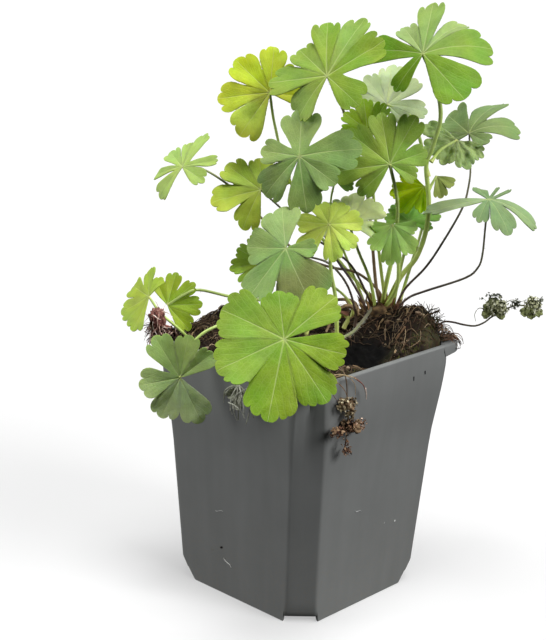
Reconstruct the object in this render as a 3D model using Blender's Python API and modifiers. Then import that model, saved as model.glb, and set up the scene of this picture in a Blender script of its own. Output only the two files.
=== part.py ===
"""Hardy geranium growing in a square nursery pot.

The tables below are in millimetres and degrees, and meshes are made in metres. The origin is the
centre of the pot's underside, +Z is up, and the pot's sides lie along X and Y.
"""

import math
from typing import NamedTuple

import bmesh
import bpy
from mathutils import Matrix, Vector, noise
from mathutils.geometry import delaunay_2d_cdt

MM = 0.001

# Pot, a moulded square nursery pot of 9 x 9 x 10 cm
RIM_WIDTH = 90.0
RIM_HEIGHT = 5.2
RIM_CORNER = 4.0
POT_HEIGHT = 103.0
BODY_TOP_WIDTH = 87.4
BODY_FOOT_WIDTH = 74.2
CORNER_CUT_TOP = 9.2
CORNER_CUT_LOW = 8.2
CORNER_CUT_FOOT = 13.5
FOOT_TAPER_HEIGHT = 9.0
WALL = 1.2
FLOOR = 1.6
SKIRT = 1.6
RIM_TOP_PLATE = 1.3
DRAIN_SLOT_HEIGHT = 2.5
DRAIN_HOLE_RADIUS = 3.5
DRAIN_HOLE_OFFSET = 17.0

# Soil
CLEARANCE = 0.3
SOIL_LEVEL = 102.0
SOIL_CELLS = 22
SOIL_ROUGHNESS = 1.6
SOIL_GRAIN = 9.0

# Leaves and their stalks
BLADE_THICKNESS = 0.7
STALK_STEP = 9.0
STALK_END_TAPER = 0.7
STALK_GAP = 1.1
HOLE_CLEARANCE = 0.35
GROUND_REACH = 124.0

# Colours as sRGB hex values
POT_GREY = "5F6160"
PEAT_BROWN = "33241B"
ROOT_BROWN = "6B5238"
LEAF_GREEN = "7FA544"
LEAF_BLUE_GREEN = "7D9F62"
LEAF_DARK_GREEN = "64803F"
LEAF_PALE_GREEN = "A3BE6C"
LEAF_YELLOW = "B4CC3C"
STALK_GREEN = "94AD62"
STALK_DARK = "3B3430"
STALK_BROWN = "7A6350"
DRIED_GREY = "8C8F74"
DRIED_BROWN = "6E4A33"
CALYX_PINK = "B08070"


class Mound(NamedTuple):
    """A rise or a hollow of the soil's surface, as a round bump."""

    x: float
    y: float
    height: float
    radius: float


MOUNDS = (
    Mound(14, 33, 9, 15),
    Mound(36, 37, 13, 14),
    Mound(-30, -8, 9, 15),
    Mound(-22, -30, 5, 10),
    Mound(-20, 30, 4, 18),
    Mound(29, 2, -9, 11),
)


class Leaf(NamedTuple):
    """A palmate leaf blade. Its lobes are (angle from the middle lobe, length, downward curl)."""

    hub: tuple
    bearing: float
    lean: float
    turn: float
    lobes: tuple
    colour: str = LEAF_GREEN
    sinus: float = 0.35
    fullness: float = 0.9
    pleat: float = 0.12
    wave: float = 0.8
    crumple: float = 0.0


class Stalk(NamedTuple):
    """A petiole or stem: its radius at the base and the points that its middle line runs through."""

    radius: float
    route: tuple
    colour: str = STALK_GREEN


# Leaves that grow on the tall leafy stem, fused with it
STEM_LEAVES = (
    Leaf((27, 32, 217), -65, 45, 180, ((-132, 28, 10), (-85, 27, 5), (-46, 29, 30), (0, 27, 15),
         (45, 18, -10), (88, 23, 10), (148, 18, 20)), sinus=0.25, fullness=0.8),
    Leaf((5, 39, 194), -60, 45, 185, ((-135, 14, 0), (-92, 16, 10), (-42, 17, 0), (0, 22, 0),
         (34, 18, 0), (75, 14, 0), (125, 13, 0))),
    Leaf((31, 52, 182), -50, 50, 320, ((-75, 15, 10), (-32, 14, 0), (10, 12, 0), (62, 13, 10),
         (105, 12, 10)), crumple=1.2),
    Leaf((28, 44, 168), -50, 60, 45, ((-30, 9, 0), (20, 8, 0)), sinus=0.7),
)
STEM_BRANCHES = (
    Stalk(1.5, ((14.5, 34.5, 114), (19, 35.5, 125.5), (24, 39, 134.5), (27, 40.5, 146),
                (27.5, 40.5, 158.5), (26, 39.5, 172.5), (28, 40, 179.5), (30.5, 41, 192),
                (29.5, 38, 205), (27, 32, 217))),
    Stalk(1.1, ((27, 40, 168), (24, 40, 176), (20.5, 41, 183), (15, 42.5, 190), (5, 39, 194))),
    Stalk(1.0, ((27.5, 40.5, 174), (28.5, 45, 178.5), (31, 52, 182))),
    Stalk(0.9, ((27.3, 40.5, 163), (27.8, 42.5, 166), (28, 44, 168))),
)

# Leaves on petioles of their own that rise from the rootstock
LEAVES = {
    "top_middle": Leaf(
        (4, 3, 208), -80, 55, 195, ((-130, 19, 10), (-75, 24, 5), (-36, 28, 0), (2, 27, 0),
        (45, 23, 10), (87, 25, 15), (130, 21, 20)), sinus=0.35),
    "top_left_yellow": Leaf(
        (-26, 3, 198), -45, 60, 225, ((-140, 15, 0), (-92, 18, 0), (-46, 20, 0), (0, 20, 0),
        (50, 21, 5), (90, 21, 5), (130, 15, 10)), LEAF_YELLOW),
    "far_left_small": Leaf(
        (-40, -31, 170), -90, 45, 190, ((-118, 13, 10), (-76, 15, 10), (-4, 18, 0), (56, 14, 10),
        (106, 16, 10), (150, 14, 10)), LEAF_PALE_GREEN, sinus=0.2, fullness=0.65),
    "left_yellow": Leaf(
        (-20, -7, 161), -50, 45, 230, ((-100, 14, 0), (-45, 16, 0), (0, 19, 5), (55, 21, 15),
        (108, 17, 20)), LEAF_YELLOW, sinus=0.6, fullness=1.0),
    "left_blue": Leaf(
        (2, -9, 178), -65, 65, 205, ((-190, 24, 20), (-148, 19, 20), (-98, 24, 10), (-40, 22, 0),
        (6, 16, 0), (72, 16, 10), (125, 21, 25)), LEAF_BLUE_GREEN),
    "middle_pale": Leaf(
        (24, 19, 175), -45, 70, 190, ((-125, 12, 0), (-78, 16, 0), (-38, 22, 0), (0, 21, 0),
        (42, 21, 0), (88, 23, 10), (125, 17, 20)), LEAF_PALE_GREEN, sinus=0.5, fullness=1.0),
    "back_bright": Leaf(
        (7, 25, 185), -50, 55, 180, ((-105, 10, 0), (-65, 12, 0), (-28, 14, 0), (8, 15, 0),
        (48, 13, 0), (92, 11, 0)), sinus=0.6, fullness=1.0),
    "right_dark": Leaf(
        (29.5, 62, 183.5), -100, 50, 198, ((-150, 8, 0), (-105, 14, 0), (-53, 22, 85), (0, 27, 62),
        (55, 23, 10), (102, 10, 0)), LEAF_DARK_GREEN),
    "right_drooping": Leaf(
        (49, 51, 161), -48, 20, 80, ((-157, 26, 12), (-100, 15, 60), (-45, 19, 70), (5, 26, 60),
        (60, 14, -10), (110, 15, 20)), LEAF_DARK_GREEN, fullness=0.8),
    "young_yellow": Leaf(
        (20, 47, 162), -50, 60, 295, ((-50, 11, 0), (-15, 14, 0), (20, 14, 0), (58, 11, 0)),
        LEAF_YELLOW, sinus=0.8, fullness=1.0, pleat=0.35),
    "middle_brownish": Leaf(
        (9, 14, 149), -60, 45, 185, ((-95, 9, 30), (-42, 13, 30), (0, 15, 20), (40, 14, 20),
        (88, 11, 30)), LEAF_PALE_GREEN, sinus=0.6, fullness=1.0),
    "middle_yellow": Leaf(
        (15, -5, 153), -60, 50, 160, ((-145, 15, 20), (-105, 14, 10), (-60, 13, 0), (0, 11, 0),
        (55, 11, 0), (108, 13, 10), (165, 16, 20)), LEAF_YELLOW, sinus=0.55),
    "low_grey": Leaf(
        (10, -23.5, 145.5), -75, 60, 320, ((-135, 17, 0), (-90, 16, 0), (-38, 19, 0), (5, 25, 10),
        (52, 23, 15), (92, 22, 15), (135, 14, 0)), LEAF_BLUE_GREEN, sinus=0.5),
    "low_small_yellow": Leaf(
        (-17, -7, 132), -50, 50, 230, ((-65, 12, 0), (-25, 14, 0), (12, 13, 0), (55, 14, 0),
        (95, 14, 0)), LEAF_YELLOW),
    "back_dark_small": Leaf(
        (17, 42, 148), -60, 50, 190, ((-112, 10, 0), (-78, 13, 0), (-44, 11, 0), (0, 9, 0),
        (42, 11, 0), (80, 10, 0)), LEAF_DARK_GREEN),
    "low_middle_green": Leaf(
        (22.5, 24.5, 150), -50, 75, 5, ((-85, 8, 0), (-42, 13, 0), (-5, 16, 0), (35, 14, 0),
        (80, 10, 0)), sinus=0.6, fullness=1.0),
    "inner_dark": Leaf(
        (-2, 17, 165), -50, 50, 185, ((-120, 8, 0), (-65, 9, 0), (0, 9, 0), (55, 9, 0),
        (105, 9, 0)), LEAF_DARK_GREEN),
    "front_large": Leaf(
        (36, -51, 121), -50, 55, 290, ((-147, 24, 0), (-98, 21, 0), (-48, 26, 0), (5, 27, 0),
        (58, 30, 5), (104, 28, 5), (148, 25, 0)), sinus=0.68, fullness=1.0),
    "left_hanging": Leaf(
        (-11, -58, 96), -45, 73, 235, ((-108, 16, 0), (-54, 17, 0), (0, 16, 0), (60, 17, 0),
        (115, 19, 10), (160, 18, 10)), LEAF_BLUE_GREEN),
    "left_rim_fan": Leaf(
        (-37, -41, 116), -50, 60, 130, ((-85, 13, 0), (-35, 14, 0), (3, 14, 0), (40, 14, 0),
        (78, 12, 0)), sinus=0.5),
    "far_left_fan": Leaf(
        (-38, -50, 121), -100, 60, 270, ((-95, 9, 0), (-48, 14, 0), (-5, 18, 0), (40, 16, 0),
        (90, 15, 0)), LEAF_PALE_GREEN, sinus=0.5),
}
STALKS = {
    "top_middle": Stalk(1.0, ((10, 34.5, 113), (8.5, 33, 122), (6.5, 31, 143.5), (4.5, 30, 158),
        (0, 32, 174), (-6, 28, 187), (-5, 19, 199), (4, 3, 208)), STALK_BROWN),
    "top_left_yellow": Stalk(1.0, ((4.5, 36, 113), (-5.5, 30, 125.5), (-15, 22.5, 140.5),
        (-23, 13, 162), (-26.5, 7, 184.5), (-26, 3, 198))),
    "far_left_small": Stalk(0.8, ((9.5, 38, 112.5), (6.5, 35.5, 119), (1.5, 28.5, 125.5),
        (-5, 19.5, 128), (-11, 11.5, 132), (-18, 3, 140.5), (-24.5, -3, 149.5),
        (-31, -6, 156.5), (-35, -12.5, 162.5), (-38, -21, 168), (-40, -31, 170)), STALK_BROWN),
    "left_yellow": Stalk(0.9, ((8.5, 30.5, 113), (3, 25.5, 127.5), (-2, 20, 134.5), (-9, 11, 142),
        (-14.5, 1.5, 152), (-20, -7, 161)), STALK_DARK),
    "left_blue": Stalk(1.0, ((11, 24, 113.5), (7, 19.5, 124.5), (1, 14, 136), (-0.5, 5, 153),
        (0.5, -4, 168), (2, -9, 178)), STALK_DARK),
    "middle_pale": Stalk(1.3, ((17.5, 30, 112.5), (17.5, 30.5, 124), (18, 31.5, 136), (20, 30.5, 148),
        (24, 24.5, 161), (24, 19, 175))),
    "back_bright": Stalk(1.0, ((8, 40.5, 111.5), (6.5, 38.5, 126), (6, 35, 143), (6, 30.5, 164.5),
        (7, 25, 185))),
    "right_dark": Stalk(0.9, ((21, 36.5, 114), (21.5, 38, 121.5), (25, 44, 129.5), (28, 49.5, 138.5),
        (32, 57, 153.5), (32.5, 60, 163.5), (31.5, 61.5, 171.5), (29.5, 62, 183.5)), STALK_DARK),
    "right_drooping": Stalk(0.9, ((24.5, 32.5, 112), (26, 34, 119.5), (30.5, 38, 122.5),
        (42, 48.5, 128), (46, 51, 132.5), (47.5, 51.5, 138), (48, 51.5, 150), (49, 51, 161)),
        STALK_DARK),
    "young_yellow": Stalk(1.0, ((16.5, 39, 112.5), (16, 44, 123.5), (16, 51, 140),
        (18, 52.5, 154), (20, 47, 162))),
    "middle_brownish": Stalk(1.0, ((13, 29, 112), (12, 25.5, 125), (10.5, 18.5, 138), (9, 14, 149))),
    "middle_yellow": Stalk(1.2, ((17.5, -0.5, 108), (17.5, -2, 122.5), (17, -5, 134.5),
        (16.5, -5.5, 143), (15, -5, 153))),
    "low_grey": Stalk(0.9, ((11, 18, 112.5), (10.5, 12.5, 125), (8.5, 3, 135), (6.5, -10.5, 140),
        (10, -23.5, 145.5)), STALK_DARK),
    "low_small_yellow": Stalk(0.8, ((3.5, 24.5, 112.5), (-1.5, 19, 120), (-10, 7, 127),
        (-17, -7, 132))),
    "back_dark_small": Stalk(1.1, ((13, 40, 113), (14.5, 41.5, 128.5), (17, 42.5, 142), (17, 42, 148))),
    "low_middle_green": Stalk(1.2, ((22, 30.5, 112.5), (22.5, 30.5, 124), (22.5, 28.5, 139),
        (22.5, 24.5, 150))),
    "inner_dark": Stalk(0.8, ((4, 31.5, 112.5), (-1, 28.5, 126), (-4.5, 23, 141), (-5, 18.5, 154),
        (-2, 17, 165))),
    "front_large": Stalk(1.1, ((16.5, 21.5, 111), (21.5, 8.5, 112.5), (27.5, -5, 112),
        (34, -26, 114.5), (36, -42.5, 118.5), (36, -51, 121))),
    "left_hanging": Stalk(1.0, ((-2, 3, 108), (-3, -8, 114.5), (-5, -33, 116.5),
        (-8.5, -48, 113.5), (-10.5, -55, 105.5), (-11, -58, 96))),
    "left_rim_fan": Stalk(1.0, ((6.5, 16.5, 111), (-7.5, -1.5, 116), (-21, -18.5, 118.5),
        (-29.5, -30.5, 122), (-32.5, -36, 120.5), (-37, -41, 116))),
    "far_left_fan": Stalk(0.9, ((-27, -37, 102), (-28, -43.5, 109), (-32.5, -48.5, 115),
        (-38, -50, 121))),
}

# Withered leaves: what hangs or lies at the rim, each a stalk with crumpled blades along it
WITHERED = {
    "shrivelled_leaf": (
        Stalk(0.9, ((32.5, 40, 105), (35.5, 42.5, 112), (38.5, 45.5, 111.5), (43.5, 49.5, 109),
              (46.5, 52.5, 108), (49, 54.5, 109), (51, 57, 113), (57, 62, 117), (63, 67.5, 117)),
              STALK_DARK),
        (
            Leaf((51, 57, 114), -50, 60, 180, ((-110, 7, 10), (-55, 8, 10), (0, 8, 0), (55, 7, 0),
                 (110, 6, 0)), DRIED_GREY, sinus=0.5, fullness=1.0, crumple=2.0),
            Leaf((62, 66.5, 117), -40, 50, 60, ((-110, 6, 10), (-55, 7, 10), (0, 8, 20), (55, 7, 0),
                 (110, 5, 0)), DRIED_GREY, sinus=0.5, fullness=1.0, crumple=2.0),
        ),
    ),
    "brown_hanging_leaf": (
        Stalk(0.8, ((33, -22, 101), (39, -25, 107), (45, -28.5, 108), (48.5, -30, 103),
              (49.5, -28, 94), (49.5, -27, 86), (49, -27.5, 76)), DRIED_BROWN),
        (
            Leaf((49.5, -27, 93), -20, 80, 0, ((-120, 6, 0), (-60, 7, 10), (0, 7, 0), (60, 7, 0),
                 (120, 6, 0)), DRIED_BROWN, sinus=0.4, crumple=1.6),
            Leaf((49.5, -27, 83), -30, 85, 0, ((-110, 8, 0), (-55, 8, 10), (0, 7, 0), (55, 8, 0),
                 (110, 7, 0)), DRIED_BROWN, sinus=0.4, crumple=1.6),
            Leaf((49, -27.5, 76), -30, 80, 0, ((-60, 4, 0), (0, 4, 10), (60, 4, 0)),
                 DRIED_BROWN, sinus=0.4, crumple=0.8),
        ),
    ),
    "grey_hanging_leaf": (
        Stalk(0.7, ((15, -34, 100), (14, -40, 106), (12.5, -46, 106.5), (12, -48.5, 101),
              (12, -49, 97)), DRIED_GREY),
        (
            Leaf((12, -49, 97), -70, 80, 0, ((-45, 12, 5), (0, 16, 5), (38, 15, 5)),
                 DRIED_GREY, sinus=0.2, fullness=0.8, crumple=1.0),
        ),
    ),
    "dried_calyx": (
        Stalk(0.9, ((-34, -36, 101), (-35.5, -40, 107), (-37.5, -45, 108.5), (-38.5, -47, 109)),
              CALYX_PINK),
        (
            Leaf((-38.5, -47, 109), 190, 25, 0, ((-144, 7, -75), (-72, 8, -75), (0, 8, -75),
                 (72, 7, -75), (144, 7, -75)), CALYX_PINK, sinus=0.4, fullness=0.9, crumple=0.6),
        ),
    ),
}

# Roots that run over the soil
SURFACE_ROOTS = {
    "surface_root_left": Stalk(0.8, ((5.5, 28, 107), (2, 27, 113.5), (-4, 20, 113.5), (-7, 13, 107)),
                               ROOT_BROWN),
    "surface_root_front": Stalk(0.8, ((6.5, 27, 107), (6.5, 20, 114), (6, 12, 113), (7, 5, 106)),
                                ROOT_BROWN),
}

# Outline of one lobe from margin to margin: (fraction of its half width, fraction of its length),
# three rounded teeth with notches between them
LOBE_TEETH = ((-0.95, 0.72), (-0.68, 0.95), (-0.38, 0.89), (-0.16, 1.0), (0.16, 1.0), (0.38, 0.89),
              (0.68, 0.95), (0.95, 0.72))
HUB_MARGIN = 1.6
WIDEST_FAN = 350.0
ROOTED_DEPTH = 6.0

# The rootstock, a knobbly lump that the petioles stand in
ROOTSTOCK_CENTRE = (13.5, 33.5, 106.0)
ROOTSTOCK_RADII = (12.0, 9.0, 8.0)
ROOTSTOCK_KNOBS = 1.0


def principled(name, hex_colour, roughness):
    """A Principled material of one sRGB colour."""
    material = bpy.data.materials.new(name)
    material.use_nodes = True
    shader = material.node_tree.nodes["Principled BSDF"]
    channels = [int(hex_colour[i:i + 2], 16) / 255 for i in (0, 2, 4)]
    linear = [c / 12.92 if c <= 0.04045 else ((c + 0.055) / 1.055) ** 2.4 for c in channels]
    shader.inputs["Base Color"].default_value = (*linear, 1)
    shader.inputs["Roughness"].default_value = roughness
    shader.inputs["Metallic"].default_value = 0.0
    return material


def mesh_object(name, mesh):
    """A new object of this mesh in the collection of working shapes."""
    obj = bpy.data.objects.new(name, mesh)
    bpy.data.collections["working"].objects.link(obj)
    return obj


def bmesh_object(name, shape):
    mesh = bpy.data.meshes.new(name)
    shape.to_mesh(mesh)
    shape.free()
    return mesh_object(name, mesh)


def discard(obj):
    bpy.data.objects.remove(obj)


def baked(obj):
    """The object with its modifiers, or its curve, turned into a welded mesh."""
    graph = bpy.context.evaluated_depsgraph_get()
    mesh = bpy.data.meshes.new_from_object(obj.evaluated_get(graph))
    made = mesh_object(obj.name, mesh)
    made.matrix_world = obj.matrix_world
    discard(obj)
    shape = bmesh.new()
    shape.from_mesh(mesh)
    bmesh.ops.remove_doubles(shape, verts=shape.verts, dist=0.0005 * MM)
    shape.to_mesh(mesh)
    shape.free()
    return made


def combined(base, others, operation, solver="EXACT"):
    """The base with all the others joined to it or cut from it. The others are removed."""
    tools = bpy.data.collections.new("tools")
    bpy.context.scene.collection.children.link(tools)
    for other in others:
        tools.objects.link(other)
    modifier = base.modifiers.new("combine", "BOOLEAN")
    modifier.operation = operation
    modifier.operand_type = "COLLECTION"
    modifier.collection = tools
    modifier.solver = solver
    bpy.context.view_layer.update()
    result = baked(base)
    for other in list(tools.objects):
        discard(other)
    bpy.data.collections.remove(tools)
    return result


def finish(obj, name, hex_colour, roughness=0.6, smooth=None):
    """Names a finished piece, gives it its material and moves it to the plant's collection."""
    obj.name = name
    obj.data.name = name
    obj.data.materials.clear()
    obj.data.materials.append(principled(name, hex_colour, roughness))
    for polygon in obj.data.polygons:
        polygon.material_index = 0
    if smooth is not None:
        obj.data.shade_smooth()
        obj.data.set_sharp_from_angle(angle=math.radians(smooth))
    bpy.data.collections["working"].objects.unlink(obj)
    bpy.data.collections["hardy_geranium"].objects.link(obj)
    return obj


def smooth_line(points, step):
    """Points a step apart along a smooth curve through the given ones (Catmull-Rom)."""
    through = [Vector(p) for p in points]
    through = [2 * through[0] - through[1], *through, 2 * through[-1] - through[-2]]
    line = [through[1]]
    for before, start, end, after in zip(through, through[1:], through[2:], through[3:]):
        pieces = max(1, round((end - start).length / step))
        for i in range(1, pieces + 1):
            t = i / pieces
            line.append(0.5 * (2 * start + (end - before) * t
                               + (2 * before - 5 * start + 4 * end - after) * t * t
                               + (3 * start - before - 3 * end + after) * t ** 3))
    return line


def tube(name, line, radius, end_share=1.0, sides=6):
    """A tube along a line, its radius falling to end_share of itself at the far end."""
    curve = bpy.data.curves.new(name, "CURVE")
    curve.dimensions = "3D"
    curve.bevel_depth = radius * MM
    curve.bevel_resolution = sides // 2 - 2
    curve.use_fill_caps = True
    spline = curve.splines.new("POLY")
    spline.points.add(len(line) - 1)
    for i, (target, point) in enumerate(zip(spline.points, line)):
        target.co = (*(point * MM), 1)
        target.radius = 1 + (end_share - 1) * i / (len(line) - 1)
    obj = bpy.data.objects.new(name, curve)
    bpy.data.collections["working"].objects.link(obj)
    bpy.context.view_layer.update()
    return baked(obj)


def rooted(route):
    """The route with a straight start below the ground, which stands in a hole."""
    x, y, z = route[0]
    return ((x, y, z - ROOTED_DEPTH), *route)


def lobe_margins(lobes):
    """The angles halfway between neighbouring lobes, and one past each end, the basal margins."""
    angles = [lobe[0] for lobe in lobes]
    inner = [(a + b) / 2 for a, b in zip(angles, angles[1:])]
    span = angles[-1] - angles[0]
    reach = min(span / (len(angles) - 1), WIDEST_FAN - span) / 2
    return [angles[0] - reach, *inner, angles[-1] + reach]


def blade_outline(leaf):
    """The blade's flat outline as (angle, radius), anticlockwise from one basal margin to the other."""
    margins = lobe_margins(leaf.lobes)
    lengths = [length for _, length, _ in leaf.lobes]
    outline = [(margins[0], HUB_MARGIN)]
    for i, (angle, length, _) in enumerate(leaf.lobes):
        if i:
            outline.append((margins[i], leaf.sinus * min(lengths[i - 1], length)))
        for across, along in LOBE_TEETH:
            margin = margins[i + 1] if across > 0 else margins[i]
            outline.append((angle + abs(across) * leaf.fullness * (margin - angle), along * length))
    outline.append((margins[-1], HUB_MARGIN))
    outline.append(((margins[0] + margins[-1]) / 2 + 180, HUB_MARGIN))
    return outline


def lobe_at(leaf, angle):
    """(length, curl, how far across its lobe from 0 to 1) of the blade in one direction."""
    margins = lobe_margins(leaf.lobes)
    angle = min(max(angle, margins[0]), margins[-1])
    number = min(sum(angle > margin for margin in margins[1:]), len(leaf.lobes) - 1)
    centre, length, curl = leaf.lobes[number]
    margin = margins[number + 1] if angle > centre else margins[number]
    return length, curl, abs(angle - centre) / abs(margin - centre)


def blade_point(leaf, angle, radius):
    """A point of the shaped blade, in the leaf's own frame: lobes curl down, ribs lie in valleys."""
    length, curl, across = lobe_at(leaf, angle)
    bend = math.radians(curl) * radius / length
    share = radius / length
    along = radius * (math.sin(bend) / bend if bend else 1.0)
    down = radius * ((1 - math.cos(bend)) / bend if bend else 0.0)
    height = leaf.pleat * radius * (across - 0.5) * min(1, 2 * share) - down
    height += leaf.wave * share * share * math.sin(math.radians(3 * angle + leaf.turn))
    turned = math.radians(angle)
    flat = Vector((along * math.cos(turned), along * math.sin(turned), 0))
    if leaf.crumple:
        height += leaf.crumple * noise.noise(Vector((flat.x * 0.35, flat.y * 0.35, leaf.turn)))
    return flat + Vector((0, 0, height))


def blade_matrix(leaf):
    """From the leaf's frame to the plant's: the face leans by lean towards bearing."""
    return (Matrix.Translation(Vector(leaf.hub))
            @ Matrix.Rotation(math.radians(leaf.bearing), 4, "Z")
            @ Matrix.Rotation(math.radians(leaf.lean), 4, "Y")
            @ Matrix.Rotation(math.radians(leaf.turn), 4, "Z"))


def blade(name, leaf):
    """The leaf blade: an outline filled with triangles along its ribs, shaped, then given thickness."""
    polar = blade_outline(leaf)
    rim = len(polar)
    margins = lobe_margins(leaf.lobes)
    polar.append((0, 0))
    for i, (angle, length, _) in enumerate(leaf.lobes):
        polar.append((angle, 0.36 * length))
        polar.append((angle, 0.7 * length))
        for margin in (margins[i], margins[i + 1]):
            polar.append((angle + 0.5 * leaf.fullness * (margin - angle), 0.66 * length))
    flat = [Vector((r * math.cos(math.radians(a)), r * math.sin(math.radians(a)))) for a, r in polar]
    loop = [list(range(rim))]
    points, _, faces, origins, _, _ = delaunay_2d_cdt(flat, [], loop, 1, 1e-5)
    matrix = blade_matrix(leaf)
    shape = bmesh.new()
    corners = []
    for point, sources in zip(points, origins):
        angle, radius = polar[sources[0]]
        corners.append(shape.verts.new(matrix @ blade_point(leaf, angle, radius) * MM))
    for face in faces:
        shape.faces.new([corners[i] for i in face])
    bmesh.ops.recalc_face_normals(shape, faces=shape.faces)
    obj = bmesh_object(name, shape)
    solidify = obj.modifiers.new("thickness", "SOLIDIFY")
    solidify.thickness = BLADE_THICKNESS * MM
    solidify.offset = 0
    bpy.context.view_layer.update()
    return baked(obj)


def stalk_line(stalk, leaf=None, short=0.0):
    """The stalk's middle line, ended short of the blade's underside where it isn't fused with it."""
    line = smooth_line(rooted(stalk.route), STALK_STEP)
    if leaf:
        normal = blade_matrix(leaf).to_3x3() @ Vector((0, 0, 1))
        line[-1] = line[-1] - normal * short
    return line


def hole_cutter(line, radius):
    """A slightly wider tube along the part of a stalk near the ground."""
    above = [i for i, point in enumerate(line) if point.z > GROUND_REACH] or [len(line) - 1]
    start = line[0] + (line[0] - line[1]).normalized() * 2 * HOLE_CLEARANCE
    return tube("hole", [start, *line[1:above[0] + 1]], radius + HOLE_CLEARANCE)


def chamfered_square(width, cut):
    """Corner points of a square with its four corners cut off, anticlockwise."""
    half = width / 2
    quarter = [(half, -half + cut), (half, half - cut)]
    outline = []
    for turn in range(4):
        spin = Matrix.Rotation(math.radians(90 * turn), 2)
        outline += [spin @ Vector(point) for point in quarter]
    return outline


def loft(name, sections):
    """A closed solid through outlines with as many points each, as (outline, height) from below."""
    shape = bmesh.new()
    rings = [[shape.verts.new((p.x * MM, p.y * MM, z * MM)) for p in outline]
             for outline, z in sections]
    shape.faces.new(rings[0][::-1])
    shape.faces.new(rings[-1])
    count = len(rings[0])
    for low, high in zip(rings, rings[1:]):
        for i in range(count):
            j = (i + 1) % count
            shape.faces.new((low[i], low[j], high[j], high[i]))
    return bmesh_object(name, shape)


def body_width(z):
    return BODY_FOOT_WIDTH + (BODY_TOP_WIDTH - BODY_FOOT_WIDTH) * z / (POT_HEIGHT - RIM_HEIGHT)


def wall_section(z, inset):
    """The pot wall's outline at a height, moved inwards by inset all round."""
    share = z / (POT_HEIGHT - RIM_HEIGHT)
    cut = CORNER_CUT_LOW + (CORNER_CUT_TOP - CORNER_CUT_LOW) * share
    if z < FOOT_TAPER_HEIGHT:
        cut += (CORNER_CUT_FOOT - CORNER_CUT_LOW) * (1 - z / FOOT_TAPER_HEIGHT)
    return chamfered_square(body_width(z) - 2 * inset, cut - inset * (2 - math.sqrt(2)))


def block(name, width, low, high, corner=0.0):
    """A square block between two heights with rounded upright edges."""
    shape = bmesh.new()
    bmesh.ops.create_cube(shape, size=1)
    bmesh.ops.scale(shape, vec=Vector((width, width, high - low)) * MM, verts=shape.verts)
    bmesh.ops.translate(shape, vec=Vector((0, 0, (low + high) / 2)) * MM, verts=shape.verts)
    if corner:
        upright = [e for e in shape.edges if abs(e.verts[0].co.z - e.verts[1].co.z) > 0.5 * MM]
        bmesh.ops.bevel(shape, geom=upright, offset=corner * MM, segments=3, profile=0.5,
                        affect="EDGES")
    return bmesh_object(name, shape)


def cylinder(name, radius, low, high, x, y, sides=16):
    shape = bmesh.new()
    bmesh.ops.create_cone(shape, cap_ends=True, segments=sides, radius1=radius * MM,
                          radius2=radius * MM, depth=(high - low) * MM)
    bmesh.ops.translate(shape, vec=Vector((x, y, (low + high) / 2)) * MM, verts=shape.verts)
    return bmesh_object(name, shape)


def drain_slot(corner):
    """The cut that lifts one corner strip off the ground."""
    shape = bmesh.new()
    bmesh.ops.create_cube(shape, size=1)
    size = Vector((10, 24, 2 * DRAIN_SLOT_HEIGHT))
    bmesh.ops.scale(shape, vec=size * MM, verts=shape.verts)
    reach = (BODY_FOOT_WIDTH - CORNER_CUT_FOOT) / math.sqrt(2) + 1
    spin = Matrix.Rotation(math.radians(45 + 90 * corner), 4, "Z")
    bmesh.ops.translate(shape, vec=Vector((reach + 3, 0, 0)) * MM, verts=shape.verts)
    bmesh.ops.transform(shape, matrix=spin, verts=shape.verts)
    return bmesh_object("slot", shape)


def make_pot():
    """Tapered body with cut corners, a square rim whose corners stand out as hollow ears, open foot."""
    heights = (0, FOOT_TAPER_HEIGHT, POT_HEIGHT - 0.4)
    body = loft("body", [(wall_section(z, 0), z) for z in heights])
    rim = block("rim", RIM_WIDTH, POT_HEIGHT - RIM_HEIGHT, POT_HEIGHT, RIM_CORNER)
    pocket = block("pocket", RIM_WIDTH - 2 * SKIRT, POT_HEIGHT - RIM_HEIGHT - 1,
                   POT_HEIGHT - RIM_TOP_PLATE, RIM_CORNER - SKIRT / 2)
    rim = combined(rim, [pocket], "DIFFERENCE")
    pot = combined(body, [rim], "UNION")
    inner = (FLOOR, FOOT_TAPER_HEIGHT, POT_HEIGHT + 1)
    cuts = [loft("cavity", [(wall_section(z, WALL), z) for z in inner])]
    cuts += [drain_slot(corner) for corner in range(4)]
    for x in (-1, 1):
        for y in (-1, 1):
            cuts.append(cylinder("drain", DRAIN_HOLE_RADIUS, -1, FLOOR + 1,
                                 x * DRAIN_HOLE_OFFSET, y * DRAIN_HOLE_OFFSET))
    pot = combined(pot, cuts, "DIFFERENCE")
    return finish(pot, "pot", POT_GREY, 0.55)


def soil_height(x, y):
    height = SOIL_LEVEL
    for mound in MOUNDS:
        away = math.hypot(x - mound.x, y - mound.y) / mound.radius
        height += mound.height * math.exp(-away * away)
    rough = noise.fractal(Vector((x, y, 0)) / SOIL_GRAIN, 0.6, 2.2, 3)
    return height + SOIL_ROUGHNESS * rough


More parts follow.
